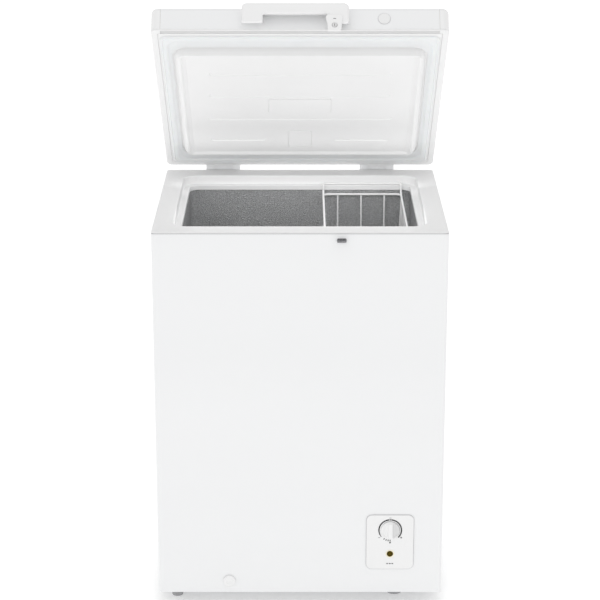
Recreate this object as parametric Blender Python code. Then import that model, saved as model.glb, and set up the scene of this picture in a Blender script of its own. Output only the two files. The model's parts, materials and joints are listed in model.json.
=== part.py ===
"""Chest freezer with its lid open, built as an assembly of separate pieces.

Metres, +Z up. The cabinet is built with its front panel in the plane y = 0,
x = 0 in its middle and z = 0 on the floor. The lid is built closed and hangs
from an empty on its hinge axis, which is turned to the open position. At the
end everything is moved back so that the origin is the middle of the footprint.
"""
import math

import bmesh
import bpy
from mathutils import Vector

for old in list(bpy.data.objects):
    bpy.data.objects.remove(old, do_unlink=True)

# ---------------------------------------------------------------- dimensions
GAP = 0.0003            # clearance between pieces that touch
SHEET = 0.0008          # steel and aluminium sheet

WIDTH = 0.565
DEPTH = 0.516
FOOT_H = 0.025
BODY_H = 0.745
TOP = FOOT_H + BODY_H   # top face of the collar
HALF = WIDTH / 2

OPEN_X = 0.2435         # half width of the loading opening
OPEN_Y0 = 0.048
OPEN_Y1 = 0.462
LEDGE_DROP = 0.018      # ledge that the basket hangs on
LEDGE_W = 0.013
LIP_DROP = 0.028        # lower lip of the collar
OPEN_R = 0.030

LINER_X = OPEN_X - LEDGE_W + 0.0018
LINER_Y0 = OPEN_Y0 + LEDGE_W - 0.0018
LINER_Y1 = OPEN_Y1 - LEDGE_W + 0.0018
LINER_R = 0.016
FLOOR = FOOT_H + 0.062  # inside floor of the tank
STEP_X = 0.086          # tank wall beside the compressor step
STEP_Z = 0.247          # top of the compressor step
WELL_INSET = 0.0005     # the tank is drawn in a little below the step

BAY_X = 0.1216          # left wall of the compressor bay
BAY_Z = 0.206           # roof of the compressor bay

HINGE_Y = DEPTH + 0.01165
HINGE_Z = TOP + 0.01326
HINGE_X = 0.1635        # centre of each hinge
HINGE_HALF = 0.036
KNUCKLE_R = 0.0043
PIN_R = 0.0018
LID_OPEN = math.radians(41.4)

LID_Z0 = TOP + 0.004
LID_Z1 = TOP + 0.056
LID_Y0 = -0.0117
LID_Y1 = DEPTH + 0.0065
LID_R = 0.012
RIM_W = 0.0125          # plastic frame round the lid's underside
CAP_X = 0.2647          # where the corner caps of the lid begin
PLUG_DROP = 0.016       # ridge of the inner panel below the frame
PANEL_SINK = 0.004      # middle of the inner panel above its ridge

HANDLE_Y = LID_Y0 - 0.027
HANDLE_X0, HANDLE_X1 = -0.110, 0.0925
LEG_W = 0.040
LOCK_X0, LOCK_X1 = 0.0486, 0.0805
LOCK_X = 0.0650
LOCK_Z = TOP - 0.0021
STRIKE_X = 0.0791
STRIKE_Z = TOP - 0.0155
EYE_Y = -0.0063         # centre of the strike's eye
BOLT_TILT = math.radians(66)
BOLT_R = 0.0020
BOLT_LEN = 0.034
BOLT_BACK = 0.024       # tip to eye when the bolt is drawn back

BEZEL_X0, BEZEL_X1 = 0.1310, 0.2265
BEZEL_Z0, BEZEL_Z1 = FOOT_H + 0.0505, FOOT_H + 0.1680
DIAL_X = 0.1790
DIAL_Z = FOOT_H + 0.1352
DIAL_R = 0.0185
LAMP_Z = FOOT_H + 0.0844
LAMP_R = 0.0063

DRAIN_X = -0.1410
DRAIN_Z = FOOT_H + 0.0248
DRAIN_Y = 0.120
DRAIN_R = 0.0095

BASKET_X0, BASKET_X1 = 0.049, 0.212
BASKET_Y0, BASKET_Y1 = 0.0665, 0.4435
BASKET_RIM = TOP - 0.036
BASKET_H = 0.190
RIM_WIRE = 0.0020
WALL_WIRE = 0.0014

KNOB_PROUD = 0.0088
STRIKE_PROUD = 0.0125   # the strike reaches furthest forward
# The open lid reaches furthest back at the rear edge of its top.
REACH = HINGE_Y + ((LID_Z1 - HINGE_Z) * math.sin(LID_OPEN)
                   + (LID_Y1 - HINGE_Y) * math.cos(LID_OPEN))
SHIFT = (STRIKE_PROUD - REACH) / 2


# ----------------------------------------------------------------- materials
def material(name, color, roughness, metallic=0.0):
    mat = bpy.data.materials.new(name)
    mat.use_nodes = True
    shader = mat.node_tree.nodes["Principled BSDF"]
    shader.inputs["Base Color"].default_value = (*color, 1.0)
    shader.inputs["Roughness"].default_value = roughness
    shader.inputs["Metallic"].default_value = metallic
    return mat


WHITE_STEEL = material("white_steel", (0.86, 0.86, 0.86), 0.35)
WHITE_PLASTIC = material("white_plastic", (0.84, 0.84, 0.83), 0.45)
GREY_PLASTIC = material("grey_plastic", (0.45, 0.45, 0.45), 0.55)
GASKET_WHITE = material("gasket_white", (0.80, 0.80, 0.79), 0.65)
FOAM = material("foam", (0.85, 0.78, 0.55), 0.9)
ALUMINIUM = material("aluminium", (0.55, 0.56, 0.57), 0.4, 1.0)
GALVANISED = material("galvanised", (0.55, 0.56, 0.57), 0.45, 1.0)
BLACK_STEEL = material("black_steel", (0.02, 0.02, 0.022), 0.4)
BLACK_RUBBER = material("black_rubber", (0.03, 0.03, 0.03), 0.8)
COPPER = material("copper", (0.72, 0.38, 0.22), 0.3, 1.0)
DARK_METAL = material("dark_metal", (0.16, 0.16, 0.16), 0.4, 1.0)
STEEL = material("steel", (0.60, 0.60, 0.60), 0.35, 1.0)
AMBER = material("amber", (0.55, 0.30, 0.05), 0.2)
WIRE_WHITE = material("wire_white", (0.85, 0.85, 0.85), 0.35)

ORIGIN = Vector((0.0, 0.0, 0.0))
AXIS = Vector((0.0, HINGE_Y, HINGE_Z))
lid_axis = bpy.data.objects.new("lid_axis", None)
lid_axis.location = AXIS
lid_axis.rotation_euler.x = -LID_OPEN
bpy.context.collection.objects.link(lid_axis)


# ------------------------------------------------------------------- helpers
def add(name, bm, mat, lid=False, pivot=None, smooth=35):
    """Make an object from a bmesh that was built in the cabinet's frame.

    A lid piece hangs from the hinge's empty. A moving piece has its origin
    at its pivot, which is a point on its own joint's axis.
    """
    base = AXIS if lid else ORIGIN
    origin = Vector(pivot) if pivot else base
    bmesh.ops.translate(bm, verts=bm.verts, vec=-origin)
    bmesh.ops.recalc_face_normals(bm, faces=bm.faces)
    mesh = bpy.data.meshes.new(name)
    bm.to_mesh(mesh)
    bm.free()
    obj = bpy.data.objects.new(name, mesh)
    obj.location = origin - base if lid else origin
    if lid:
        obj.parent = lid_axis
    bpy.context.collection.objects.link(obj)
    if mat:
        mesh.materials.append(mat)
    mesh.shade_smooth()
    mesh.set_sharp_from_angle(angle=math.radians(smooth))
    return obj


def combine(obj, name, bm, operation, lid=False):
    """Cut a closed shape out of an object, or add it, with a Boolean."""
    tool = add(name, bm, None, lid=lid)
    tool.hide_render = True
    tool.display_type = "WIRE"
    boolean = obj.modifiers.new(name, "BOOLEAN")
    boolean.operation = operation
    boolean.object = tool
    return tool


def arc(cx, cy, radius, start, end, steps):
    """Points of an arc, angles in degrees."""
    points = []
    for i in range(steps + 1):
        a = math.radians(start + (end - start) * i / steps)
        points.append((cx + radius * math.cos(a), cy + radius * math.sin(a)))
    return points


def rounded_rect(x0, x1, y0, y1, radius, steps=5):
    return (arc(x1 - radius, y1 - radius, radius, 0, 90, steps)
            + arc(x0 + radius, y1 - radius, radius, 90, 180, steps)
            + arc(x0 + radius, y0 + radius, radius, 180, 270, steps)
            + arc(x1 - radius, y0 + radius, radius, 270, 360, steps))


def rounded_polygon(corners, steps=4):
    """Outline with a fillet at each corner, given as (x, y, radius)."""
    outline = []
    count = len(corners)
    for i, (x, y, radius) in enumerate(corners):
        here = Vector((x, y))
        before = (Vector(corners[i - 1][:2]) - here).normalized()
        after = (Vector(corners[(i + 1) % count][:2]) - here).normalized()
        if radius == 0:
            outline.append((x, y))
            continue
        half = before.angle(after) / 2
        centre = here + (before + after).normalized() * radius / math.sin(half)
        first = here + before * radius / math.tan(half) - centre
        last = here + after * radius / math.tan(half) - centre
        turn = first.angle_signed(last)
        for k in range(steps + 1):
            a = -turn * k / steps
            outline.append((centre.x + first.x * math.cos(a) - first.y * math.sin(a),
                            centre.y + first.x * math.sin(a) + first.y * math.cos(a)))
    return outline


def level(outline, z):
    """Lift a flat outline to height z."""
    return [(x, y, z) for x, y in outline]


def loft(loops, ring=False):
    """Skin a list of loops with the same number of points.

    A ring joins its last loop to its first. Otherwise both ends are capped.
    """
    bm = bmesh.new()
    rows = [[bm.verts.new(p) for p in loop] for loop in loops]
    count = len(rows[0])
    pairs = list(zip(rows, rows[1:]))
    if ring:
        pairs.append((rows[-1], rows[0]))
    for low, high in pairs:
        for i in range(count):
            j = (i + 1) % count
            bm.faces.new((low[i], low[j], high[j], high[i]))
    if not ring:
        bm.faces.new(rows[0])
        bm.faces.new(rows[-1])
    bmesh.ops.remove_doubles(bm, verts=bm.verts, dist=1e-6)
    return bm


def box(x0, x1, y0, y1, z0, z1):
    corners = [(x0, y0), (x1, y0), (x1, y1), (x0, y1)]
    return loft([level(corners, z0), level(corners, z1)])


def boxes(list_of_limits):
    """Several separate boxes in one mesh, for use as a cutter."""
    bm = bmesh.new()
    for x0, x1, y0, y1, z0, z1 in list_of_limits:
        low = [bm.verts.new(p) for p in
               ((x0, y0, z0), (x1, y0, z0), (x1, y1, z0), (x0, y1, z0))]
        high = [bm.verts.new(p) for p in
                ((x0, y0, z1), (x1, y0, z1), (x1, y1, z1), (x0, y1, z1))]
        bm.faces.new(low)
        bm.faces.new(high)
        for i in range(4):
            j = (i + 1) % 4
            bm.faces.new((low[i], low[j], high[j], high[i]))
    return bm


def extrude_y(outline, y0, y1):
    """Solid from an (x, z) outline."""
    return loft([[(x, y0, z) for x, z in outline], [(x, y1, z) for x, z in outline]])


def extrude_x(outline, x0, x1):
    """Solid from a (y, z) outline."""
    return loft([[(x0, y, z) for y, z in outline], [(x1, y, z) for y, z in outline]])


def turned(profile, centre, along, sides=24, ring=False):
    """Solid of revolution. The profile is (radius, distance along the axis)."""
    centre = Vector(centre)
    along = Vector(along).normalized()
    side = along.orthogonal().normalized()
    other = along.cross(side)
    loops = []
    for radius, distance in profile:
        loop = []
        for i in range(sides):
            a = 2 * math.pi * (i + 0.5) / sides
            spoke = side * math.cos(a) + other * math.sin(a)
            loop.append(centre + along * distance + spoke * radius)
        loops.append(loop)
    return loft(loops, ring=ring)


def filleted(points, radius, steps=4):
    """Route with its corners rounded."""
    points = [Vector(p) for p in points]
    route = [points[0]]
    for before, here, after in zip(points, points[1:], points[2:]):
        a = (before - here).normalized()
        b = (after - here).normalized()
        half = a.angle(b) / 2
        reach = radius / math.tan(half)
        centre = here + (a + b).normalized() * radius / math.sin(half)
        first = here + a * reach - centre
        last = here + b * reach - centre
        turn = first.angle(last)
        for k in range(steps + 1):
            t = k / steps
            spoke = (first * math.sin((1 - t) * turn) + last * math.sin(t * turn)) / math.sin(turn)
            route.append(centre + spoke)
    route.append(points[-1])
    return route


def swept(route, radii, sides=8, closed=False):
    """Pipe along a route. Two radii give a hollow pipe that is open at both ends."""
    count = len(route)
    frames = []
    normal = None
    for i, p in enumerate(route):
        if closed:
            tangent = (route[(i + 1) % count] - route[i - 1]).normalized()
        else:
            tangent = (route[min(i + 1, count - 1)] - route[max(i - 1, 0)]).normalized()
        if normal is None:
            normal = tangent.orthogonal()
        normal = (normal - tangent * normal.dot(tangent)).normalized()
        frames.append((p, normal.copy(), tangent.cross(normal)))
    loops = []
    for k, radius in enumerate(radii):
        row = []
        for p, n, b in frames:
            row.append([p + (n * math.cos(2 * math.pi * (i + 0.5) / sides)
                             + b * math.sin(2 * math.pi * (i + 0.5) / sides)) * radius
                        for i in range(sides)])
        loops += row if k == 0 else row[::-1]
    return loft(loops, ring=closed or len(radii) == 2)


# ------------------------------------------------------------ cabinet casing
def outer_wrapper():
    """One sheet folded round the front and both sides."""
    r = 0.006
    outer = ([(-HALF, DEPTH)] + arc(-HALF + r, r, r, 180, 270, 5)
             + arc(HALF - r, r, r, 270, 360, 5) + [(HALF, DEPTH)])
    ri = r - SHEET
    inner = ([(HALF - SHEET, DEPTH)] + arc(HALF - r, r, ri, 360, 270, 5)
             + arc(-HALF + r, r, ri, 270, 180, 5) + [(-HALF + SHEET, DEPTH)])
    outline = outer + inner
    wrapper = add("outer_wrapper", loft([level(outline, FOOT_H), level(outline, TOP - 0.003)]),
                  WHITE_STEEL)
    combine(wrapper, "wrapper_panel_hole",
            box(BEZEL_X0 + 0.008, BEZEL_X1 - 0.008, -0.01, 0.01, BEZEL_Z0 + 0.008, BEZEL_Z1 - 0.008),
            "DIFFERENCE")
    combine(wrapper, "wrapper_drain_hole",
            turned([(0.0108, 0.0), (0.0108, 0.02)], (DRAIN_X, -0.01, DRAIN_Z), (0, 1, 0)),
            "DIFFERENCE")


def rear_panel():
    panel = add("rear_panel", box(-HALF + SHEET + GAP, HALF - SHEET - GAP,
                                  DEPTH - SHEET, DEPTH, FOOT_H, TOP - 0.003), WHITE_STEEL)
    combine(panel, "rear_panel_bay_opening",
            box(BAY_X + 0.008, 0.272, DEPTH - 0.01, DEPTH + 0.01, 0.036, 0.196), "DIFFERENCE")


def floor_and_bay():
    y0, y1 = 0.0065, DEPTH - SHEET - GAP
    add("base_plate", box(-HALF + SHEET + GAP, BAY_X - GAP, y0, y1, FOOT_H, FOOT_H + 0.001),
        GALVANISED)
    t = 0.001
    x1 = HALF - SHEET - GAP
    wall = [(BAY_X, FOOT_H), (BAY_X + t, FOOT_H), (BAY_X + t, BAY_Z - t), (x1, BAY_Z - t),
            (x1, BAY_Z), (BAY_X, BAY_Z)]
    add("compressor_bay_wall", extrude_y(wall, y0, y1), GALVANISED)
    add("compressor_mount_plate", box(BAY_X + t + GAP, x1, y0, y1, FOOT_H, FOOT_H + 0.002),
        GALVANISED)


def top_collar():
    """Moulded frame round the opening, with the ledge that the basket hangs on."""
    def outer(inset, z):
        outline = rounded_rect(-HALF + inset, HALF - inset, inset, DEPTH - inset, 0.0075 - inset)
        return level(outline, TOP + z)

    def opening(inset, z):
        outline = rounded_rect(-OPEN_X + inset, OPEN_X - inset, OPEN_Y0 + inset, OPEN_Y1 - inset,
                               OPEN_R - inset * 0.7)
        return level(outline, TOP + z)

    skirt = SHEET + GAP
    loops = [
        outer(skirt, -0.012), outer(skirt, -0.0022), outer(0.0, -0.0022), outer(0.0, -0.0010),
        outer(0.0008, 0.0), opening(-0.0012, 0.0), opening(0.0, -0.0012),
        opening(0.0006, -LEDGE_DROP), opening(LEDGE_W - 0.0008, -LEDGE_DROP),
        opening(LEDGE_W, -LEDGE_DROP - 0.0008), opening(LEDGE_W, -LIP_DROP),
        opening(LEDGE_W - 0.0015, -LIP_DROP), opening(LEDGE_W - 0.0015, -LEDGE_DROP - 0.0018),
        opening(-0.0015, -LEDGE_DROP - 0.0018), opening(-0.0015, -0.0022),
        outer(skirt + 0.002, -0.0022), outer(skirt + 0.002, -0.012),
    ]
    add("top_collar", loft(loops, ring=True), WHITE_PLASTIC)


def tank_loop(grow, z, x1=LINER_X, radius=LINER_R):
    """Horizontal section of the tank, grown outwards."""
    outline = rounded_rect(-LINER_X - grow, x1 + grow, LINER_Y0 - grow, LINER_Y1 + grow,
                           radius + grow)
    return level(outline, z)


def inner_liner():
    """Aluminium tank with a step over the compressor."""
    t = SHEET
    low = -WELL_INSET
    loops = [
        tank_loop(low + t, FLOOR - t, STEP_X), tank_loop(low + t, STEP_Z - t, STEP_X),
        tank_loop(t, STEP_Z - t), tank_loop(t, TOP - 0.0208), tank_loop(0, TOP - 0.0208),
        tank_loop(0, STEP_Z), tank_loop(low, STEP_Z, STEP_X), tank_loop(low, FLOOR, STEP_X),
    ]
    tank = add("inner_liner", loft(loops), ALUMINIUM)
    combine(tank, "liner_drain_hole",
            turned([(0.0085, 0.0), (0.0085, 0.02)], (DRAIN_X, DRAIN_Y, FLOOR - 0.01), (0, 0, 1)),
            "DIFFERENCE")


def foam_insulation():
    """Foam between casing and tank, with room for both coils and for the bay."""
    coil_room = 0.0090
    y0, y1 = 0.0063, DEPTH - 0.0036
    x0 = -HALF + 0.0065

    def outside(x1, z, inset=0.0):
        return level(rounded_rect(x0 + inset, x1, y0 + inset, y1 - inset, 0.012), z)

    def throat(z):
        outline = rounded_rect(-OPEN_X - 0.002, OPEN_X + 0.002, OPEN_Y0 - 0.002, OPEN_Y1 + 0.002,
                               OPEN_R + 0.002)
        return level(outline, z)

    under = 0.0014
    loops = [
        outside(BAY_X - GAP, FOOT_H + 0.0013, WELL_INSET),
        outside(BAY_X - GAP, BAY_Z + GAP, WELL_INSET),
        outside(-x0, BAY_Z + GAP), outside(-x0, TOP - 0.0026),
        throat(TOP - 0.0026), throat(TOP - 0.031),
        tank_loop(coil_room, TOP - 0.031), tank_loop(coil_room, STEP_Z - under),
        tank_loop(under, STEP_Z - under, STEP_X), tank_loop(under, FLOOR - under, STEP_X),
    ]
    foam = add("foam_insulation", loft(loops), FOAM)
    r = DRAIN_R + 0.001
    combine(foam, "foam_drain_channel",
            box(DRAIN_X - r, DRAIN_X + r, -0.01, DRAIN_Y + r, FOOT_H - 0.01, FLOOR + 0.01),
            "DIFFERENCE")


def feet():
    for name, x, y, radius in (
            ("foot_front_left", -0.248, 0.044, 0.0122), ("foot_front_right", 0.191, 0.058, 0.018),
            ("foot_rear_left", -0.248, DEPTH - 0.040, 0.0122),
            ("foot_rear_right", 0.191, DEPTH - 0.040, 0.018)):
        profile = [(radius * 0.72, 0.0), (radius * 0.92, 0.002), (radius, 0.006),
                   (radius, FOOT_H - 0.003), (radius * 0.8, FOOT_H - GAP)]
        add(name, turned(profile, (x, y, 0), (0, 0, 1), sides=20), GREY_PLASTIC)


# --------------------------------------------------------- refrigerant parts
def evaporator_coil():
    """Tube wound round the outside of the tank."""
    radius, turns, low, high = 0.0032, 5, 0.300, 0.700
    off = SHEET + 0.0010 + radius
    lap = rounded_rect(-LINER_X - off, LINER_X + off, LINER_Y0 - off, LINER_Y1 + off,
                       LINER_R + off, steps=4)
    total = turns * len(lap)
    route = []
    for i in range(total):
        x, y = lap[i % len(lap)]
        route.append(Vector((x, y, low + (high - low) * i / total)))
    add("evaporator_coil", swept(route, [radius], sides=5), ALUMINIUM, smooth=70)


def condenser_coil():
    """Serpentine tube bonded behind the front and side sheet."""
    radius = 0.0022
    x = HALF - SHEET - GAP - radius
    y = SHEET + GAP + radius
    corners = []
    for i in range(5):
        z = 0.270 + 0.1 * i
        lap = [(-x, 0.470, z), (-x, y, z), (x, y, z), (x, 0.470, z)]
        corners += lap if i % 2 == 0 else lap[::-1]
    add("condenser_coil", swept(filleted(corners, 0.014, steps=3), [radius], sides=5), COPPER,
        smooth=70)


COMP_X, COMP_Y = 0.2035, 0.300


def compressor():
    stations = (
        (0.70, 0.045), (0.93, 0.051), (1.00, 0.066), (1.00, 0.110), (1.04, 0.1105), (1.04, 0.1145),
        (1.00, 0.115), (0.98, 0.160), (0.86, 0.180), (0.55, 0.190))
    loops = []
    for scale, z in stations:
        half_x, half_y = 0.060 * scale, 0.083 * scale
        loops.append(level(rounded_rect(COMP_X - half_x, COMP_X + half_x, COMP_Y - half_y,
                                        COMP_Y + half_y, 0.052 * scale), z))
    add("compressor", loft(loops), BLACK_STEEL, smooth=50)
    add("compressor_cradle", loft([
        level(rounded_rect(COMP_X - 0.074, COMP_X + 0.074, COMP_Y - 0.095, COMP_Y + 0.095, 0.012,
                           steps=3), z) for z in (0.0417, 0.0447)]), BLACK_STEEL)
    number = 1
    for dx in (-0.060, 0.060):
        for dy in (-0.080, 0.080):
            profile = [(0.011, 0.0), (0.011, 0.004), (0.008, 0.006), (0.010, 0.0141)]
            add("compressor_grommet_%d" % number,
                turned(profile, (COMP_X + dx, COMP_Y + dy, FOOT_H + 0.002 + GAP), (0, 0, 1),
                       sides=14), BLACK_RUBBER)
            number += 1
    add("relay_cover", loft([
        level(rounded_rect(COMP_X - 0.030, COMP_X + 0.030, 0.180, 0.2130, 0.005, steps=2), z)
        for z in (0.085, 0.150)]), BLACK_RUBBER)


def pipework():
    drier = [(0.0028, 0.0), (0.0035, 0.006), (0.0095, 0.016), (0.0095, 0.084), (0.0035, 0.094),
             (0.0028, 0.100)]
    add("filter_drier", turned(drier, (0.148, 0.455, 0.072), (0, 0, 1), sides=16), COPPER)
    back = COMP_Y + 0.083 + 0.0006
    roof = BAY_Z - 0.001 - GAP
    add("suction_tube", swept(filleted(
        [(COMP_X + 0.012, back, 0.090), (COMP_X + 0.012, 0.425, 0.090), (COMP_X + 0.040, 0.425, 0.090),
         (COMP_X + 0.040, 0.425, roof)], 0.010), [0.0032], sides=8), COPPER, smooth=70)
    add("discharge_tube", swept(filleted(
        [(COMP_X - 0.010, back, 0.090), (COMP_X - 0.010, 0.412, 0.090), (COMP_X - 0.010, 0.412, 0.055),
         (0.148, 0.455, 0.055), (0.148, 0.455, 0.072 - GAP)], 0.008), [0.0022], sides=8), COPPER,
        smooth=70)
    add("capillary_tube", swept(filleted(
        [(0.148, 0.455, 0.172 + GAP), (0.148, 0.455, 0.190), (0.175, 0.455, 0.190),
         (0.175, 0.480, 0.190), (0.175, 0.480, roof)], 0.006), [0.0010], sides=6), COPPER, smooth=70)


def rear_vent_grille():
    z0, z1 = 0.030, 0.202
    x0, x1 = BAY_X + 0.002, 0.278
    grille = add("rear_vent_grille", box(x0, x1, DEPTH + GAP, DEPTH + 0.0022, z0, z1),
                 GREY_PLASTIC)
    slots = [(x0 + 0.012, x1 - 0.012, DEPTH - 0.01, DEPTH + 0.02, 0.072 + 0.014 * i,
              0.079 + 0.014 * i) for i in range(9)]
    combine(grille, "grille_slots", boxes(slots), "DIFFERENCE")
    gland = (0.252, DEPTH, 0.050)
    combine(grille, "grille_gland_hole",
            turned([(0.0085, -0.01), (0.0085, 0.02)], gland, (0, 1, 0), sides=16), "DIFFERENCE")
    profile = [(0.0045, -0.006), (0.0080, -0.006), (0.0080, 0.0025), (0.0115, 0.0025),
               (0.0105, 0.006), (0.0065, 0.009), (0.0045, 0.009)]
    add("cord_gland", turned(profile, gland, (0, 1, 0), sides=16, ring=True), BLACK_RUBBER)


# ------------------------------------------------------------- control panel
def control_panel():
    """Flat plate with a raised border line, the dial and the lamp."""
    def plate(inset, y):
        outline = rounded_rect(BEZEL_X0 + inset, BEZEL_X1 - inset, BEZEL_Z0 + inset,
                               BEZEL_Z1 - inset, 0.012 - inset, steps=4)
        return [(x, y, z) for x, z in outline]

    face = -0.0022
    bezel = add("control_bezel", loft([
        plate(0.0, -GAP), plate(0.0, face), plate(0.0004, face - 0.0006),
        plate(0.0012, face - 0.0006), plate(0.0016, face)]), WHITE_PLASTIC)
    combine(bezel, "bezel_spindle_hole",
            turned([(0.0045, -0.01), (0.0045, 0.01)], (DIAL_X, 0, DIAL_Z), (0, 1, 0), sides=16),
            "DIFFERENCE")
    combine(bezel, "bezel_lamp_hole",
            turned([(LAMP_R + GAP, -0.01), (LAMP_R + GAP, 0.01)], (DIAL_X, 0, LAMP_Z), (0, 1, 0)),
            "DIFFERENCE")

    stem = 0.0030
    thermostat = add("thermostat_body", box(DIAL_X - 0.019, DIAL_X + 0.019, 0.0001, 0.028,
                                            DIAL_Z - 0.018, DIAL_Z + 0.018), GREY_PLASTIC)
    combine(thermostat, "thermostat_bore",
            turned([(stem + 0.0005, -0.01), (stem + 0.0005, 0.014)], (DIAL_X, 0, DIAL_Z),
                   (0, 1, 0), sides=16), "DIFFERENCE")
    add("thermostat_probe_tube", swept(filleted(
        [(DIAL_X - 0.010, 0.0283, DIAL_Z), (DIAL_X - 0.010, 0.060, DIAL_Z),
         (0.130, 0.060, DIAL_Z), (0.130, 0.060, BAY_Z - 0.001 - GAP)], 0.008), [0.0012], sides=6),
        COPPER, smooth=70)

    profile = [(stem, -0.0120), (stem, 0.0027), (DIAL_R, 0.0027), (DIAL_R, 0.0042),
               (DIAL_R - 0.0006, 0.0052), (DIAL_R - 0.0016, 0.0057), (0.012, 0.0058)]
    knob = add("thermostat_knob", turned(profile, (DIAL_X, 0, DIAL_Z), (0, -1, 0), sides=32),
               WHITE_PLASTIC, pivot=(DIAL_X, 0, DIAL_Z))
    grip = rounded_rect(DIAL_X - 0.0036, DIAL_X + 0.0036, DIAL_Z - 0.0165, DIAL_Z + 0.0165, 0.0035,
                        steps=3)
    combine(knob, "knob_grip", extrude_y(grip, -KNOB_PROUD, -0.0040), "UNION")

    lens = [(LAMP_R * 0.9, -0.0040), (LAMP_R, -0.0038), (LAMP_R, 0.0030), (LAMP_R * 0.85, 0.0040),
            (LAMP_R * 0.5, 0.0046)]
    add("indicator_lens", turned(lens, (DIAL_X, 0, LAMP_Z), (0, -1, 0), sides=20), AMBER)
    add("indicator_holder", turned([(0.0085, -0.0220), (0.0085, -0.0043)],
                                   (DIAL_X, 0, LAMP_Z), (0, -1, 0), sides=16), GREY_PLASTIC)


# ------------------------------------------------------------ defrost drain
def drain():
    route = filleted([(DRAIN_X, SHEET + 0.001, DRAIN_Z), (DRAIN_X, DRAIN_Y, DRAIN_Z),
                      (DRAIN_X, DRAIN_Y, FLOOR - SHEET - GAP)], 0.016, steps=4)
    add("drain_tube", swept(route, [DRAIN_R, DRAIN_R - 0.0016], sides=14), GREY_PLASTIC, smooth=70)
    stem = DRAIN_R - 0.0016 - 0.0006
    cap = [(stem * 0.9, -0.016), (stem, -0.015), (stem, GAP), (0.0123, GAP), (0.0123, 0.0026),
           (0.0115, 0.0036), (0.0080, 0.0040)]
    add("front_drain_plug", turned(cap, (DRAIN_X, 0, DRAIN_Z), (0, -1, 0), sides=24),
        WHITE_PLASTIC, pivot=(DRAIN_X, 0, DRAIN_Z))
    bung = [(stem * 0.9, -0.012), (stem, -0.011), (stem, GAP), (0.0150, GAP), (0.0150, 0.0030),
            (0.0050, 0.0045), (0.0050, 0.0140), (0.0035, 0.0155)]
    add("inner_drain_plug", turned(bung, (DRAIN_X, DRAIN_Y, FLOOR), (0, 0, 1), sides=20),
        WHITE_PLASTIC, pivot=(DRAIN_X, DRAIN_Y, FLOOR))


# -------------------------------------------------------------------- hinges
def knuckle_outline(foot_y0, foot_y1, foot_z, facing):
    """Section of a knuckle with the web that carries it, in (y, z)."""
    start, end = (-60, 240) if facing < 0 else (120, 420)
    return ([(HINGE_Y + foot_y1, HINGE_Z + foot_z)]
            + arc(HINGE_Y, HINGE_Z, KNUCKLE_R, start, end, 12)
            + [(HINGE_Y + foot_y0, HINGE_Z + foot_z)])


def hinge(side, x):
    """Butt hinge behind the cabinet: two knuckles below, one above, a pin and a spring."""
    low = HINGE_Z - TOP
    foot = [(DEPTH + GAP, TOP - 0.045), (DEPTH + 0.0028, TOP - 0.045), (DEPTH + 0.0028, TOP - 0.0035),
            (HINGE_Y + 0.004, TOP - 0.0035), (HINGE_Y + 0.004, TOP + 0.0070),
            (HINGE_Y + 0.0015, TOP + 0.0070), (HINGE_Y + 0.0015, TOP - 0.0010),
            (DEPTH + GAP, TOP - 0.0010)]
    leaf = add("hinge_cabinet_leaf_" + side, extrude_x(foot, x - HINGE_HALF, x + HINGE_HALF), STEEL)
    bottom = -low - 0.0022
    for i, (a, b) in enumerate(((-HINGE_HALF, -0.020), (0.020, HINGE_HALF))):
        combine(leaf, "hinge_%s_fixed_knuckle_%d" % (side, i + 1),
                extrude_x(knuckle_outline(-0.0021, 0.0021, bottom, -1), x + a, x + b), "UNION")
    bore = [(PIN_R + 0.0004, -HINGE_HALF - 0.01), (PIN_R + 0.0004, HINGE_HALF + 0.01)]
    combine(leaf, "hinge_%s_bore" % side, turned(bore, (x, HINGE_Y, HINGE_Z), (1, 0, 0), sides=12),
            "DIFFERENCE")
    rear = LID_Y1 - HINGE_Y + GAP
    plate = box(x - HINGE_HALF, x + HINGE_HALF, HINGE_Y + rear, HINGE_Y + rear + 0.002,
                HINGE_Z + 0.0050, HINGE_Z + 0.038)
    upper = add("hinge_lid_leaf_" + side, plate, STEEL, lid=True)
    # One outline: up the lid's side of the web, then round the knuckle.
    web = ([(HINGE_Y + rear, HINGE_Z + 0.008), (HINGE_Y + rear, HINGE_Z - 0.0005)]
           + arc(HINGE_Y, HINGE_Z, KNUCKLE_R, 200, 455, 12)
           + [(HINGE_Y + rear + 0.002, HINGE_Z + 0.0046), (HINGE_Y + rear + 0.002, HINGE_Z + 0.008)])
    combine(upper, "hinge_%s_moving_knuckle" % side, extrude_x(web, x - 0.0197, x - 0.0020),
            "UNION", lid=True)
    combine(upper, "hinge_%s_moving_bore" % side,
            turned(bore, (x, HINGE_Y, HINGE_Z), (1, 0, 0), sides=12), "DIFFERENCE", lid=True)
    head = PIN_R + 0.0012
    pin = [(head, -HINGE_HALF - 0.0020), (head, -HINGE_HALF - GAP), (PIN_R, -HINGE_HALF - GAP),
           (PIN_R, HINGE_HALF + 0.0015)]
    add("hinge_pin_" + side, turned(pin, (x, HINGE_Y, HINGE_Z), (1, 0, 0), sides=12), STEEL)
    coil = []
    turns, per_turn = 5, 7
    for i in range(turns * per_turn + 1):
        a = 2 * math.pi * i / per_turn
        coil.append(Vector((x - 0.0005 + 0.0185 * i / (turns * per_turn),
                            HINGE_Y + 0.0032 * math.cos(a), HINGE_Z + 0.0032 * math.sin(a))))
    add("hinge_spring_" + side, swept(coil, [0.0007], sides=4), STEEL, smooth=80)


# ----------------------------------------------------------------------- lid
def lid_loop(inset, z):
    outline = rounded_rect(-HALF + inset, HALF - inset, LID_Y0 + inset, LID_Y1 - inset,
                           max(LID_R - inset, 0.004))
    return level(outline, z)


def plug_loop(x, y0, y1, z, radius):
    return level(rounded_rect(-x, x, y0, y1, radius), z)


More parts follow.
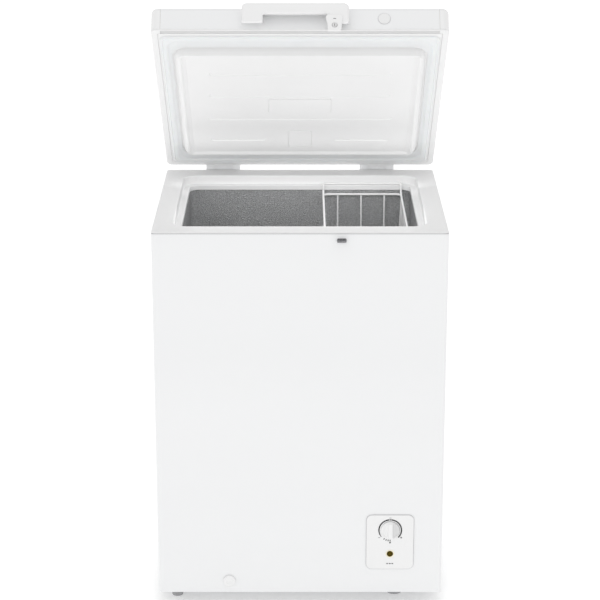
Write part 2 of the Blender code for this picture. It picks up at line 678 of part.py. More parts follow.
def lid_shell():
    """Pressed top of the lid, open underneath."""
    t = 0.0012
    low = LID_Z0 + 0.0032
    return loft([
        lid_loop(0.0100, LID_Z1 - t), lid_loop(0.0048, LID_Z1 - 0.0028),
        lid_loop(0.0022, LID_Z1 - 0.0062), lid_loop(t, LID_Z1 - 0.0110), lid_loop(t, low),
        lid_loop(0.0, low), lid_loop(0.0, LID_Z1 - 0.0100), lid_loop(0.0012, LID_Z1 - 0.0050),
        lid_loop(0.0040, LID_Z1 - 0.0015), lid_loop(0.0100, LID_Z1)])


def corner_block(sign, clearance):
    x0, x1 = sorted((sign * (CAP_X - clearance), sign * (HALF + 0.01)))
    return box(x0, x1, LID_Y0 - 0.01, LID_Y0 + 0.030 + clearance, LID_Z0 - 0.01, LID_Z1 + 0.01)


def lid_casing():
    panel = add("lid_outer_panel", lid_shell(), WHITE_STEEL, lid=True)
    for side, sign in (("left", -1), ("right", 1)):
        combine(panel, "lid_corner_cut_" + side, corner_block(sign, GAP), "DIFFERENCE", lid=True)
        cap = add("lid_corner_cap_" + side, lid_shell(), WHITE_PLASTIC, lid=True)
        combine(cap, "lid_corner_keep_" + side, corner_block(sign, 0.0), "INTERSECT", lid=True)
    rim = 0.0029
    add("lid_frame", loft([
        lid_loop(0.0, LID_Z0 + rim), lid_loop(0.0, LID_Z0 + 0.0010), lid_loop(0.0010, LID_Z0),
        lid_loop(RIM_W, LID_Z0), lid_loop(RIM_W, LID_Z0 + rim)], ring=True), WHITE_PLASTIC, lid=True)


def lid_inside():
    """Inner panel that plugs the opening, the foam above it and the seal."""
    t = 0.0013
    edge = RIM_W + GAP
    drop = LID_Z0 - PLUG_DROP
    base_y0, base_y1 = OPEN_Y0 + 0.0040, OPEN_Y1
    flat_y0, flat_y1 = OPEN_Y0 + 0.0060, OPEN_Y1 - 0.012
    add("lid_inner_liner", loft([
        plug_loop(0.2175, flat_y0 + 0.0100, flat_y1 - 0.0100, drop + PANEL_SINK + t, 0.012),
        plug_loop(0.2250, flat_y0 + 0.0025, flat_y1 - 0.0025, drop + t, 0.018),
        plug_loop(0.2262, flat_y0 + 0.001, flat_y1 - 0.001, drop + t, 0.020),
        plug_loop(0.2402, base_y0 + t, base_y1 - t, LID_Z0 + t, 0.024),
        lid_loop(edge, LID_Z0 + t), lid_loop(edge, LID_Z0),
        plug_loop(0.2420, base_y0, base_y1, LID_Z0, 0.025),
        plug_loop(0.2290, base_y0 + 0.0006, flat_y1 + 0.0015, drop + 0.0012, 0.022),
        plug_loop(0.2275, flat_y0, flat_y1, drop, 0.021),
        plug_loop(0.2245, flat_y0 + 0.0030, flat_y1 - 0.0030, drop, 0.018),
        plug_loop(0.2170, flat_y0 + 0.0105, flat_y1 - 0.0105, drop + PANEL_SINK, 0.012)]),
        WHITE_PLASTIC, lid=True)
    add("lid_foam", loft([
        plug_loop(0.2240, flat_y0 + 0.004, flat_y1 - 0.004, drop + PANEL_SINK + t + GAP, 0.018),
        plug_loop(0.2360, base_y0 + 0.005, base_y1 - 0.005, LID_Z0 + t + 0.0006, 0.022),
        lid_loop(0.0145, LID_Z0 + t + 0.0006), lid_loop(0.0145, LID_Z0 + 0.0036),
        lid_loop(0.0018, LID_Z0 + 0.0036),
        lid_loop(0.0018, LID_Z1 - 0.0120), lid_loop(0.0060, LID_Z1 - 0.0042),
        lid_loop(0.0110, LID_Z1 - 0.0020)]), FOAM, lid=True)
    z0, z1 = TOP + GAP, LID_Z0 - GAP
    seal = [(0.2672, 0.0080, DEPTH - 0.0080, 0.014), (0.2465, OPEN_Y0 - 0.003, OPEN_Y1 + 0.003, 0.030)]
    (xo, yo0, yo1, ro), (xi, yi0, yi1, ri) = seal
    add("lid_gasket", loft([
        plug_loop(xo, yo0, yo1, z0 + 0.001, ro), plug_loop(xo, yo0, yo1, z1, ro),
        plug_loop(xi, yi0, yi1, z1, ri), plug_loop(xi, yi0, yi1, z0 + 0.001, ri),
        plug_loop(xi + 0.003, yi0 - 0.003, yi1 + 0.003, z0, ri + 0.003),
        plug_loop(xo - 0.003, yo0 + 0.003, yo1 - 0.003, z0, ro - 0.003)], ring=True),
        GASKET_WHITE, lid=True)


def lid_handle():
    """Bar on two legs. The right leg is hollow for the lock's bolt."""
    top, under = TOP + 0.0487, TOP + 0.0257
    outline = rounded_polygon([
        (HANDLE_X0, top, 0.009), (HANDLE_X0, TOP + 0.0056, 0.005),
        (HANDLE_X0 + LEG_W, TOP + 0.0056, 0.010), (HANDLE_X0 + LEG_W, under, 0.003),
        (HANDLE_X1 - LEG_W, under, 0.003), (HANDLE_X1 - LEG_W, TOP + 0.0040, 0.003),
        (HANDLE_X1, TOP + 0.0040, 0.010), (HANDLE_X1, top, 0.010)])
    handle = add("lid_handle", extrude_y(outline, HANDLE_Y, LID_Y0 - GAP), WHITE_PLASTIC, lid=True,
                 smooth=40)
    bevel = handle.modifiers.new("edges", "BEVEL")
    bevel.width = 0.0025
    bevel.segments = 2
    bevel.limit_method = "ANGLE"
    bevel.angle_limit = math.radians(50)
    return handle


def lock():
    handle = lid_handle()
    # The bolt slides down and back, through the eye of the strike.
    way = Vector((0.0, math.cos(BOLT_TILT), -math.sin(BOLT_TILT)))
    eye = Vector((STRIKE_X, EYE_Y, STRIKE_Z))
    tip = eye - way * BOLT_BACK
    tail = tip - way * BOLT_LEN
    combine(handle, "handle_bolt_bore",
            turned([(BOLT_R + 0.0005, -0.001), (BOLT_R + 0.0005, BOLT_LEN + 0.02)], tail, way,
                   sides=12), "DIFFERENCE", lid=True)
    add("lock_bolt", turned([(BOLT_R, 0.0), (BOLT_R, BOLT_LEN - 0.0015),
                             (BOLT_R * 0.6, BOLT_LEN)], tail, way, sides=12),
        STEEL, lid=True, pivot=tip)

    front = HANDLE_Y - 0.0018
    section = rounded_polygon([
        (front, TOP + 0.0215, 0.0008), (front, TOP - 0.0115, 0.0015), (front + 0.004, TOP - 0.0134, 0.0015),
        (-0.0240, TOP - 0.0035, 0.0015), (-0.0240, TOP + 0.0036, 0.0), (HANDLE_Y - GAP, TOP + 0.0036, 0.0),
        (HANDLE_Y - GAP, TOP + 0.0215, 0.0)], steps=3)
    housing = add("lock_housing", extrude_x(section, LOCK_X0, LOCK_X1),
                  WHITE_PLASTIC, lid=True)
    centre = (LOCK_X, 0, LOCK_Z)
    combine(housing, "lock_bore",
            turned([(0.0052, 0.030), (0.0052, 0.06)], centre, (0, -1, 0), sides=24),
            "DIFFERENCE", lid=True)
    barrel = add("lock_barrel",
                 turned([(0.0048, 0.0304), (0.0048, -front + 0.0002), (0.0042, -front + 0.0008)],
                        centre, (0, -1, 0), sides=24), STEEL, lid=True,
                 pivot=(LOCK_X, front, LOCK_Z))
    combine(barrel, "key_slot", box(LOCK_X - 0.0006, LOCK_X + 0.0006, front - 0.01, front + 0.004,
                                    LOCK_Z - 0.0028, LOCK_Z + 0.0028), "DIFFERENCE", lid=True)

    plate = level(rounded_rect(STRIKE_X - 0.009, STRIKE_X + 0.009, -0.0125, -0.0006, 0.003, steps=3),
                  STRIKE_Z - 0.0015)
    plate_top = [(x, y, z + 0.0030) for x, y, z in plate]
    hole = level(rounded_rect(STRIKE_X - 0.0034, STRIKE_X + 0.0034, -0.0108, -0.0018, 0.0030,
                              steps=3), STRIKE_Z - 0.0015)
    hole_top = [(x, y, z + 0.0030) for x, y, z in hole]
    strike = add("lock_strike", loft([plate, plate_top, hole_top, hole], ring=True), DARK_METAL)
    back = rounded_rect(STRIKE_X - 0.009, STRIKE_X + 0.009, STRIKE_Z - 0.0042, STRIKE_Z + 0.0042,
                        0.004, steps=3)
    combine(strike, "strike_back_plate", extrude_y(back, -0.0012, -GAP), "UNION")


def fascia_cap():
    add("fascia_screw_cap", turned([(0.0115, GAP), (0.0115, 0.0010), (0.0109, 0.0014)],
                                   (0.1596, LID_Y0, TOP + 0.0295), (0, -1, 0), sides=28),
        WHITE_PLASTIC, lid=True)


# -------------------------------------------------------------------- basket
def basket():
    """Welded wire basket that hangs from the ledge by a loop at each end."""
    mid_y = (BASKET_Y0 + BASKET_Y1) / 2
    mid_x = (BASKET_X0 + BASKET_X1) / 2
    taper = 0.008
    floor = BASKET_RIM - BASKET_H

    def hoop(inset, z, radius):
        outline = rounded_rect(BASKET_X0 + inset, BASKET_X1 - inset, BASKET_Y0 + inset,
                               BASKET_Y1 - inset, 0.012, steps=3)
        route = [Vector(p) for p in level(outline, z)]
        return swept(route, [radius], sides=6, closed=True)

    wires = bpy.data.collections.new("basket_wires")
    bpy.context.scene.collection.children.link(wires)

    def weld(name, bm):
        wire = add(name, bm, None)
        wire.hide_render = True
        wire.display_type = "WIRE"
        bpy.context.collection.objects.unlink(wire)
        wires.objects.link(wire)

    rim = add("storage_basket", hoop(0.0, BASKET_RIM, RIM_WIRE), WIRE_WHITE, smooth=60,
              pivot=(mid_x, mid_y, BASKET_RIM))
    weld("basket_belt", hoop(taper / 2 + 0.0022, BASKET_RIM - BASKET_H / 2, WALL_WIRE))
    for i in range(7):
        y = mid_y + (i - 3) * 0.054
        weld("basket_cross_wire_%d" % (i + 1), swept(filleted(
            [(BASKET_X0, y, BASKET_RIM), (BASKET_X0 + taper, y, floor),
             (BASKET_X1 - taper, y, floor), (BASKET_X1, y, BASKET_RIM)], 0.012, steps=2),
            [WALL_WIRE], sides=5))
    for i, x in enumerate((0.0793, 0.1285, 0.1770)):
        z = floor + WALL_WIRE * 1.6
        weld("basket_long_wire_%d" % (i + 1), swept(filleted(
            [(x, BASKET_Y0, BASKET_RIM), (x, BASKET_Y0 + taper, z), (x, BASKET_Y1 - taper, z),
             (x, BASKET_Y1, BASKET_RIM)], 0.012, steps=3), [WALL_WIRE], sides=5))
    hook_z = TOP - LEDGE_DROP + RIM_WIRE + GAP
    for name, sign, y in (("front", -1, BASKET_Y0), ("rear", 1, BASKET_Y1)):
        rise = [(BASKET_X0, y - sign * 0.014, BASKET_RIM), (BASKET_X0, y + sign * 0.0015, BASKET_RIM + 0.006),
                (BASKET_X0, y + sign * 0.0022, hook_z), (BASKET_X0, y + sign * 0.0115, hook_z)]
        fall = [(BASKET_X1, py, pz) for _, py, pz in reversed(rise)]
        weld("basket_hook_" + name, swept(filleted(rise + fall, 0.0035, steps=2), [RIM_WIRE],
                                          sides=6))
    union = rim.modifiers.new("welds", "BOOLEAN")
    union.operation = "UNION"
    union.operand_type = "COLLECTION"
    union.collection = wires


outer_wrapper()
rear_panel()
floor_and_bay()
top_collar()
inner_liner()
foam_insulation()
feet()
evaporator_coil()
condenser_coil()
compressor()
pipework()
rear_vent_grille()
control_panel()
drain()
hinge("left", -HINGE_X)
hinge("right", HINGE_X)
lid_casing()
lid_inside()
lock()
fascia_cap()
basket()

for obj in bpy.data.objects:
    if obj.parent is None:
        obj.location.y += SHIFT
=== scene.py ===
"""Looks of a chest freezer with its lid half open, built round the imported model.

Metres, +Z up. Every piece is built in the frame of the closed freezer, with
the cabinet's front in the plane y = 0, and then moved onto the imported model.
Pieces of the lid are built closed and turned open about the hinge.
"""
import json
import math

import bmesh
import bpy
from mathutils import Matrix, Vector


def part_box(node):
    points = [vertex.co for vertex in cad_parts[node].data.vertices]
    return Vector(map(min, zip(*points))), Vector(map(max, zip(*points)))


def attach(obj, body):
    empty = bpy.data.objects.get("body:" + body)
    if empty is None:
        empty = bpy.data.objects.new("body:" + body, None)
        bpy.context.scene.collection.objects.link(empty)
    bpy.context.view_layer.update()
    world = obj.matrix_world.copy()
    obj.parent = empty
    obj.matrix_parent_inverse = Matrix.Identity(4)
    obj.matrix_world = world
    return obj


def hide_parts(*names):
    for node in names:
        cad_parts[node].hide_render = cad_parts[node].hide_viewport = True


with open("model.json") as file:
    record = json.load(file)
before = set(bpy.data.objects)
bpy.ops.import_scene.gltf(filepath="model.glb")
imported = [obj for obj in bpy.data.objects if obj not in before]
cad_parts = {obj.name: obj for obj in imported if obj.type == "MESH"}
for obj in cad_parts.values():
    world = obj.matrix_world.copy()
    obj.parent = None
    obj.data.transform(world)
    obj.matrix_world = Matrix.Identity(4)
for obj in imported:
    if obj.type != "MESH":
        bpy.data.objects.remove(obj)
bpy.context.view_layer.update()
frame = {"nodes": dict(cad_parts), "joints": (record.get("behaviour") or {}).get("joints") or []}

# ---------------------------------------------------------------- dimensions
# Cabinet: half its width, the place of its front, its depth and its levels.
casing_low, casing_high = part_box("outer_wrapper")
HALF = casing_high.x
SHIFT = casing_low.y
DEPTH = casing_high.y - SHIFT
FOOT_H = casing_low.z
CASING_TOP = casing_high.z
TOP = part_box("top_collar")[1].z

# Opening of the collar with the basket's ledge below it, and the tank.
OPEN_X, OPEN_Y0, OPEN_Y1, OPEN_R = 0.2435, 0.048, 0.462, 0.030
LEDGE_DROP, LEDGE_W, LIP_DROP = 0.018, 0.013, 0.028
LINER_X, LINER_Y0, LINER_Y1, LINER_R = 0.2323, 0.0592, 0.4508, 0.016
FLOOR = FOOT_H + 0.062
STEP_X, STEP_Z = 0.086, 0.247

# Lid, closed: its box, rim and corner caps, and the levels of its inner panel.
lid_joint = next(j for j in frame["joints"] if j["name"] == "lid_hinge")
LID_OPEN = -math.radians(lid_joint["range_deg"][0])
LID_Z0, LID_Z1 = TOP + 0.004, TOP + 0.056
LID_Y0, LID_Y1 = -0.0117, DEPTH + 0.0065
LID_R = 0.012
RIM_W = 0.0125
CAP_X = 0.2647
RIDGE_Z = LID_Z0 - 0.016
PANEL_Z = RIDGE_Z + 0.004

# Handle, lock and catch.
HANDLE_Y = LID_Y0 - 0.027
HANDLE_X0, HANDLE_X1 = -0.110, 0.0925
LEG_W = 0.040
LOCK_X, LOCK_Z = 0.0650, TOP - 0.0021
STRIKE_X, STRIKE_Z = 0.0791, TOP - 0.0155

FASCIA_CAP = (0.1596, LID_Y0, TOP + 0.0295)

# Control panel, drain, sheet thickness and the gap between pieces.
DIAL_X, DIAL_Z = 0.1790, FOOT_H + 0.1352
LAMP_Z, LAMP_R = FOOT_H + 0.0844, 0.0060
PANEL_FACE = -0.0022
DRAIN_X, DRAIN_Y, DRAIN_Z = -0.1410, 0.120, FOOT_H + 0.0248
SHEET = 0.0008
GAP = 0.0003
WELD = 1e-6

FRONT, BACK, UP = (0, -1, 0), (0, 1, 0), (0, 0, 1)

LID_BODIES = ("lid", "key_barrel", "bolt")
PLACE = Matrix.Translation((0, SHIFT, 0))
HINGE = Vector(lid_joint["pos_m"])
LID_PLACE = (Matrix.Translation(HINGE) @ Matrix.Rotation(-LID_OPEN, 4, "X")
             @ Matrix.Translation(-HINGE) @ PLACE)


# ----------------------------------------------------------------- materials
def scaled(color, factor):
    """Colour made lighter or darker, with full alpha."""
    return (*(min(1.0, c * factor) for c in color), 1.0)


def material(name, color, roughness, metallic=0.0, mottle=(0.02, 7.0), polish=(0.05, 60.0),
             relief=(), stretch=(1, 1, 1), **sockets):
    """Procedural finish in metres: mottled colour, uneven polish and a fine relief.

    mottle and polish are (spread, noise scale). relief lists (kind, scale, height).
    """
    mat = bpy.data.materials.new(name)
    mat.use_nodes = True
    tree = mat.node_tree
    shader = tree.nodes["Principled BSDF"]
    shader.inputs["Metallic"].default_value = metallic
    for socket, value in sockets.items():
        shader.inputs[socket.replace("_", " ")].default_value = value
    coords = tree.nodes.new("ShaderNodeTexCoord").outputs["Object"]
    place = tree.nodes.new("ShaderNodeMapping")
    place.inputs["Scale"].default_value = stretch
    tree.links.new(coords, place.inputs["Vector"])

    def noise(scale, detail=3.0):
        node = tree.nodes.new("ShaderNodeTexNoise")
        node.inputs["Scale"].default_value = scale
        node.inputs["Detail"].default_value = detail
        tree.links.new(place.outputs["Vector"], node.inputs["Vector"])
        return node.outputs["Fac"]

    spread, scale = mottle
    ramp = tree.nodes.new("ShaderNodeValToRGB")
    ramp.color_ramp.elements[0].position = 0.3
    ramp.color_ramp.elements[1].position = 0.7
    ramp.color_ramp.elements[0].color = scaled(color, 1 - spread)
    ramp.color_ramp.elements[1].color = scaled(color, 1 + spread)
    tree.links.new(noise(scale), ramp.inputs["Fac"])
    tree.links.new(ramp.outputs["Color"], shader.inputs["Base Color"])

    spread, scale = polish
    level = tree.nodes.new("ShaderNodeMapRange")
    level.inputs["To Min"].default_value = roughness - spread
    level.inputs["To Max"].default_value = roughness + spread
    tree.links.new(noise(scale, 4.0), level.inputs["Value"])
    tree.links.new(level.outputs["Result"], shader.inputs["Roughness"])

    normal = None
    for kind, scale, height in relief:
        if kind == "pebbles":
            texture = tree.nodes.new("ShaderNodeTexVoronoi")
            texture.feature = "SMOOTH_F1"
            texture.inputs["Scale"].default_value = scale
            texture.inputs["Smoothness"].default_value = 0.6
            tree.links.new(place.outputs["Vector"], texture.inputs["Vector"])
            value = texture.outputs["Distance"]
        else:
            value = noise(scale, 2.0)
        bump = tree.nodes.new("ShaderNodeBump")
        bump.inputs["Strength"].default_value = 1.0
        bump.inputs["Distance"].default_value = height
        tree.links.new(value, bump.inputs["Height"])
        if normal:
            tree.links.new(normal, bump.inputs["Normal"])
        normal = bump.outputs["Normal"]
    if normal:
        tree.links.new(normal, shader.inputs["Normal"])
    return mat


PAINT = material("paint_white", (0.86, 0.865, 0.87), 0.34, mottle=(0.008, 5.0),
                 relief=(("grain", 420.0, 0.00002), ("grain", 1500.0, 0.000006)),
                 stretch=(0.12, 1, 1))
PAINT_LID = material("paint_lid", (0.86, 0.865, 0.87), 0.34, mottle=(0.008, 5.0),
                     relief=(("grain", 420.0, 0.00002),))
SATIN = material("satin_white", (0.85, 0.85, 0.85), 0.42, mottle=(0.010, 9.0),
                 relief=(("grain", 900.0, 0.00001),))
GLOSS = material("gloss_white", (0.86, 0.86, 0.86), 0.24, mottle=(0.008, 12.0),
                 relief=(("grain", 350.0, 0.000008),))
# Grey of the rim's inlay, darkened as painted shade of its channel.
FRAME_GREY_AND_SHADE = material("frame_grey_and_shade", (0.64, 0.64, 0.64), 0.5, mottle=(0.02, 20.0),
                      relief=(("grain", 900.0, 0.00001),))
SEAL = material("seal_white", (0.84, 0.84, 0.84), 0.5, mottle=(0.015, 30.0),
                relief=(("grain", 1200.0, 0.00001),), Subsurface_Weight=0.05)
STUCCO = material("stucco_aluminium", (0.52, 0.525, 0.53), 0.42, metallic=1.0,
                  mottle=(0.20, 380.0), polish=(0.06, 90.0),
                  relief=(("pebbles", 700.0, 0.0016), ("grain", 1400.0, 0.0002)))
# Darker copy of the knob's white: painted shade on the knob's right part.
KNOB_SHADED = material("knob_white_shaded", (0.70, 0.70, 0.70), 0.30, mottle=(0.008, 12.0),
                relief=(("grain", 350.0, 0.000008),))
WIRE = material("wire_white", (0.90, 0.90, 0.90), 0.30, mottle=(0.02, 60.0),
                relief=(("grain", 500.0, 0.00002),))
GREY = material("grey_plastic_look", (0.42, 0.42, 0.43), 0.55, mottle=(0.04, 40.0),
                relief=(("grain", 1600.0, 0.00002),))
INK = material("ink_grey", (0.020, 0.020, 0.022), 0.5, mottle=(0.15, 300.0))
# Light ink for print, and for a painted shadow arc round the knob.
INK_LIGHT_AND_SHADE = material("ink_light_and_shade", (0.16, 0.16, 0.17), 0.5, mottle=(0.15, 300.0))
# Grey for the seam round the fascia cap, and for painted shade: the ring round the control plate
# and the strip along the dial's ridge.
TRIM_AND_SHADE = material("trim_and_shade_grey", (0.62, 0.62, 0.63), 0.5, mottle=(0.04, 80.0))
AMBER = material("amber_look", (0.070, 0.048, 0.002), 0.40, mottle=(0.25, 200.0),
                 polish=(0.03, 300.0), Specular_IOR_Level=0.08)
HALO = material("amber_rim", (0.88, 0.82, 0.62), 0.35, mottle=(0.04, 150.0))
ZINC = material("zinc", (0.55, 0.56, 0.57), 0.42, metallic=1.0, mottle=(0.12, 45.0),
                polish=(0.10, 30.0), relief=(("grain", 300.0, 0.00003),))
STEEL = material("steel_look", (0.58, 0.58, 0.58), 0.34, metallic=1.0, mottle=(0.08, 90.0),
                 polish=(0.08, 200.0), relief=(("grain", 1200.0, 0.00002),))
DARK = material("dark_metal_look", (0.11, 0.11, 0.115), 0.45, metallic=0.9, mottle=(0.2, 300.0),
                relief=(("grain", 1500.0, 0.00002),))
CATCH = material("catch_metal", (0.26, 0.26, 0.27), 0.40, metallic=0.7, mottle=(0.15, 300.0),
                 relief=(("grain", 1500.0, 0.00002),))
COPPER = material("copper_look", (0.70, 0.36, 0.20), 0.34, metallic=1.0, mottle=(0.15, 60.0),
                  polish=(0.10, 80.0))
RUBBER = material("rubber_look", (0.028, 0.028, 0.030), 0.78, mottle=(0.15, 90.0),
                  relief=(("grain", 1200.0, 0.00004),))
ENAMEL = material("black_enamel", (0.018, 0.018, 0.020), 0.32, mottle=(0.2, 40.0),
                  relief=(("grain", 500.0, 0.00003),))
FOAM = material("foam_look", (0.80, 0.70, 0.42), 0.9, mottle=(0.10, 120.0),
                relief=(("pebbles", 500.0, 0.0006),))
ALU = material("alu_tube", (0.62, 0.63, 0.64), 0.36, metallic=1.0, mottle=(0.08, 60.0),
               polish=(0.08, 100.0))

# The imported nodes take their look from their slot. The hinge leaves are painted.
SLOT_LOOKS = {
    "white_steel": PAINT_LID, "white_plastic": SATIN, "grey_plastic": GREY, "gasket": SEAL,
    "foam": FOAM, "aluminium": ALU, "galvanised_steel": ZINC, "black_steel": ENAMEL,
    "black_rubber": RUBBER, "copper": COPPER, "dark_metal": DARK, "steel": STEEL,
    "amber_lens": AMBER, "coated_wire": WIRE,
}
for name, node in frame["nodes"].items():
    leaf = name.startswith("hinge_") and "_leaf_" in name
    for holder in node.material_slots:
        holder.material = PAINT_LID if leaf else SLOT_LOOKS[holder.material.name.split(".")[0]]


# ------------------------------------------------------------------- helpers
def new_object(name, data):
    obj = bpy.data.objects.new(name, data)
    bpy.context.scene.collection.objects.link(obj)
    return obj


def mesh_object(name, bm):
    bmesh.ops.recalc_face_normals(bm, faces=bm.faces)
    mesh = bpy.data.meshes.new(name)
    bm.to_mesh(mesh)
    bm.free()
    return new_object(name, mesh)


def piece(name, bm, mat, body, replaced=(), smooth=32, bevel=0.0, join=(), cut=(),
          keep=()):
    """Finish a shape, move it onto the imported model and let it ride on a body.

    smooth is the angle in degrees above which an edge stays sharp. join, cut
    and keep are shapes to add, to take away and to intersect with.
    """
    obj = mesh_object(name, bm)
    if bevel:
        edges = obj.modifiers.new("edges", "BEVEL")
        edges.width = bevel
        edges.segments = 4
        edges.limit_method = "ANGLE"
        edges.angle_limit = math.radians(40)
    tools = []
    for operation, shapes in (("UNION", join), ("DIFFERENCE", cut), ("INTERSECT", keep)):
        for shape in shapes:
            tool = mesh_object(name + "_tool", shape)
            boolean = obj.modifiers.new("shape", "BOOLEAN")
            boolean.operation = operation
            boolean.object = tool
            tools.append(tool)
    depsgraph = bpy.context.evaluated_depsgraph_get()
    mesh = bpy.data.meshes.new_from_object(obj.evaluated_get(depsgraph))
    obj.modifiers.clear()
    obj.data = mesh
    for tool in tools:
        bpy.data.objects.remove(tool, do_unlink=True)
    mesh.transform(LID_PLACE if body in LID_BODIES else PLACE)
    mesh.materials.clear()
    mesh.materials.append(mat)
    mesh.shade_smooth()
    mesh.set_sharp_from_angle(angle=math.radians(smooth))
    normals = obj.modifiers.new("normals", "WEIGHTED_NORMAL")
    normals.keep_sharp = True
    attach(obj, body)
    if replaced:
        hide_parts(*([replaced] if isinstance(replaced, str) else replaced))
    return obj


def quarter(a, b, steps=5, first=0):
    """Quarter of an ellipse from a to b that leaves a along its first or second number."""
    points = []
    for i in range(steps + 1):
        t = math.pi / 2 * i / steps
        s, c = math.sin(t), 1 - math.cos(t)
        u, v = (s, c) if first == 0 else (c, s)
        points.append((a[0] + (b[0] - a[0]) * u, a[1] + (b[1] - a[1]) * v))
    return points


def arc(cx, cy, radius, start, end, steps):
    """Points on a circle from one angle to another, in degrees."""
    points = []
    for i in range(steps + 1):
        a = math.radians(start + (end - start) * i / steps)
        points.append((cx + radius * math.cos(a), cy + radius * math.sin(a)))
    return points


def rounded_rect(x0, x1, y0, y1, radius, steps=10):
    return (arc(x1 - radius, y1 - radius, radius, 0, 90, steps)
            + arc(x0 + radius, y1 - radius, radius, 90, 180, steps)
            + arc(x0 + radius, y0 + radius, radius, 180, 270, steps)
            + arc(x1 - radius, y0 + radius, radius, 270, 360, steps))


def rounded_polygon(corners, steps=8):
    """Outline with a fillet at each corner, given as (x, y, radius)."""
    outline = []
    count = len(corners)
    for i, (x, y, radius) in enumerate(corners):
        here = Vector((x, y))
        before = (Vector(corners[i - 1][:2]) - here).normalized()
        after = (Vector(corners[(i + 1) % count][:2]) - here).normalized()
        if radius == 0:
            outline.append((x, y))
            continue
        half = before.angle(after) / 2
        centre = here + (before + after).normalized() * radius / math.sin(half)
        first = here + before * radius / math.tan(half) - centre
        last = here + after * radius / math.tan(half) - centre
        turn = first.angle_signed(last)
        for k in range(steps + 1):
            a = -turn * k / steps
            outline.append((centre.x + first.x * math.cos(a) - first.y * math.sin(a),
                            centre.y + first.x * math.sin(a) + first.y * math.cos(a)))
    return outline


def level(outline, z):
    """Flat outline put at a height."""
    return [(x, y, z) for x, y in outline]


def bridge(bm, low, high):
    for i in range(len(low)):
        j = (i + 1) % len(low)
        bm.faces.new((low[i], low[j], high[j], high[i]))


def add_loops(bm, loops):
    """Skin loops with the same number of points and return their vertices."""
    rows = [[bm.verts.new(p) for p in loop] for loop in loops]
    for low, high in zip(rows, rows[1:]):
        bridge(bm, low, high)
    return rows


def loft(loops, ring=False):
    """Closed skin over loops: both ends capped, or the last loop joined to the first."""
    bm = bmesh.new()
    rows = add_loops(bm, loops)
    if ring:
        bridge(bm, rows[-1], rows[0])
    else:
        bm.faces.new(rows[0])
        bm.faces.new(rows[-1])
    bmesh.ops.remove_doubles(bm, verts=bm.verts, dist=WELD)
    return bm


def box(x0, x1, y0, y1, z0, z1):
    corners = [(x0, y0), (x1, y0), (x1, y1), (x0, y1)]
    return loft([level(corners, z0), level(corners, z1)])


def extrude_y(outline, y0, y1):
    return loft([[(x, y0, z) for x, z in outline], [(x, y1, z) for x, z in outline]])


def turned(profile, centre, along, sides=48, ring=False):
    """Solid of revolution. The profile is (radius, distance along the axis)."""
    centre = Vector(centre)
    along = Vector(along).normalized()
    side = along.orthogonal().normalized()
    other = along.cross(side)
    loops = []
    for radius, distance in profile:
        loop = []
        for i in range(sides):
            a = 2 * math.pi * (i + 0.5) / sides
            loop.append(centre + along * distance
                        + (side * math.cos(a) + other * math.sin(a)) * radius)
        loops.append(loop)
    return loft(loops, ring=ring)


def cylinder(radius, start, end, centre, along, sides=48):
    return turned([(radius, start), (radius, end)], centre, along, sides)


def merged(shapes):
    """Several closed shapes in one mesh."""
    whole = bmesh.new()
    for shape in shapes:
        mesh = bpy.data.meshes.new("part")
        bmesh.ops.recalc_face_normals(shape, faces=shape.faces)
        shape.to_mesh(mesh)
        shape.free()
        whole.from_mesh(mesh)
        bpy.data.meshes.remove(mesh)
    return whole


def filleted(points, radius):
    """Route with its corners rounded."""
    steps = 6
    points = [Vector(p) for p in points]
    route = [points[0]]
    for before, here, after in zip(points, points[1:], points[2:]):
        a = (before - here).normalized()
        b = (after - here).normalized()
        half = a.angle(b) / 2
        reach = radius / math.tan(half)
        centre = here + (a + b).normalized() * radius / math.sin(half)
        first = here + a * reach - centre
        last = here + b * reach - centre
        turn = first.angle(last)
        for k in range(steps + 1):
            t = k / steps
            route.append(centre + (first * math.sin((1 - t) * turn)
                                   + last * math.sin(t * turn)) / math.sin(turn))
    route.append(points[-1])
    return route


def swept(route, radius, closed=False):
    """Round wire along a route."""
    sides = 12
    count = len(route)
    loops = []
    normal = None
    for i, p in enumerate(route):
        if closed:
            tangent = (route[(i + 1) % count] - route[i - 1]).normalized()
        else:
            tangent = (route[min(i + 1, count - 1)] - route[max(i - 1, 0)]).normalized()
        normal = tangent.orthogonal() if normal is None else normal
        normal = (normal - tangent * normal.dot(tangent)).normalized()
        across = tangent.cross(normal)
        loops.append([p + (normal * math.cos(2 * math.pi * k / sides)
                           + across * math.sin(2 * math.pi * k / sides)) * radius
                      for k in range(sides)])
    return loft(loops, ring=closed)


# ------------------------------------------------------------------- cabinet
def casing():
    """Painted sheet round the front and the sides, open at the back."""
    r = 0.006
    outer = ([(-HALF, DEPTH)] + arc(-HALF + r, r, r, 180, 270, 12)
             + arc(HALF - r, r, r, 270, 360, 12) + [(HALF, DEPTH)])
    inner = ([(HALF - SHEET, DEPTH)] + arc(HALF - r, r, r - SHEET, 360, 270, 12)
             + arc(-HALF + r, r, r - SHEET, 270, 180, 12) + [(-HALF + SHEET, DEPTH)])
    shape = loft([level(outer + inner, z) for z in (FOOT_H, CASING_TOP - 0.0004)])
    panel_hole = box(0.139, 0.2185, -0.01, 0.01, FOOT_H + 0.0585, FOOT_H + 0.160)
    drain_hole = cylinder(0.0108, 0.0, 0.02, (DRAIN_X, -0.01, DRAIN_Z), BACK)
    piece("casing_sheet", shape, PAINT, "cabinet", "outer_wrapper",
          cut=(panel_hole, drain_hole))


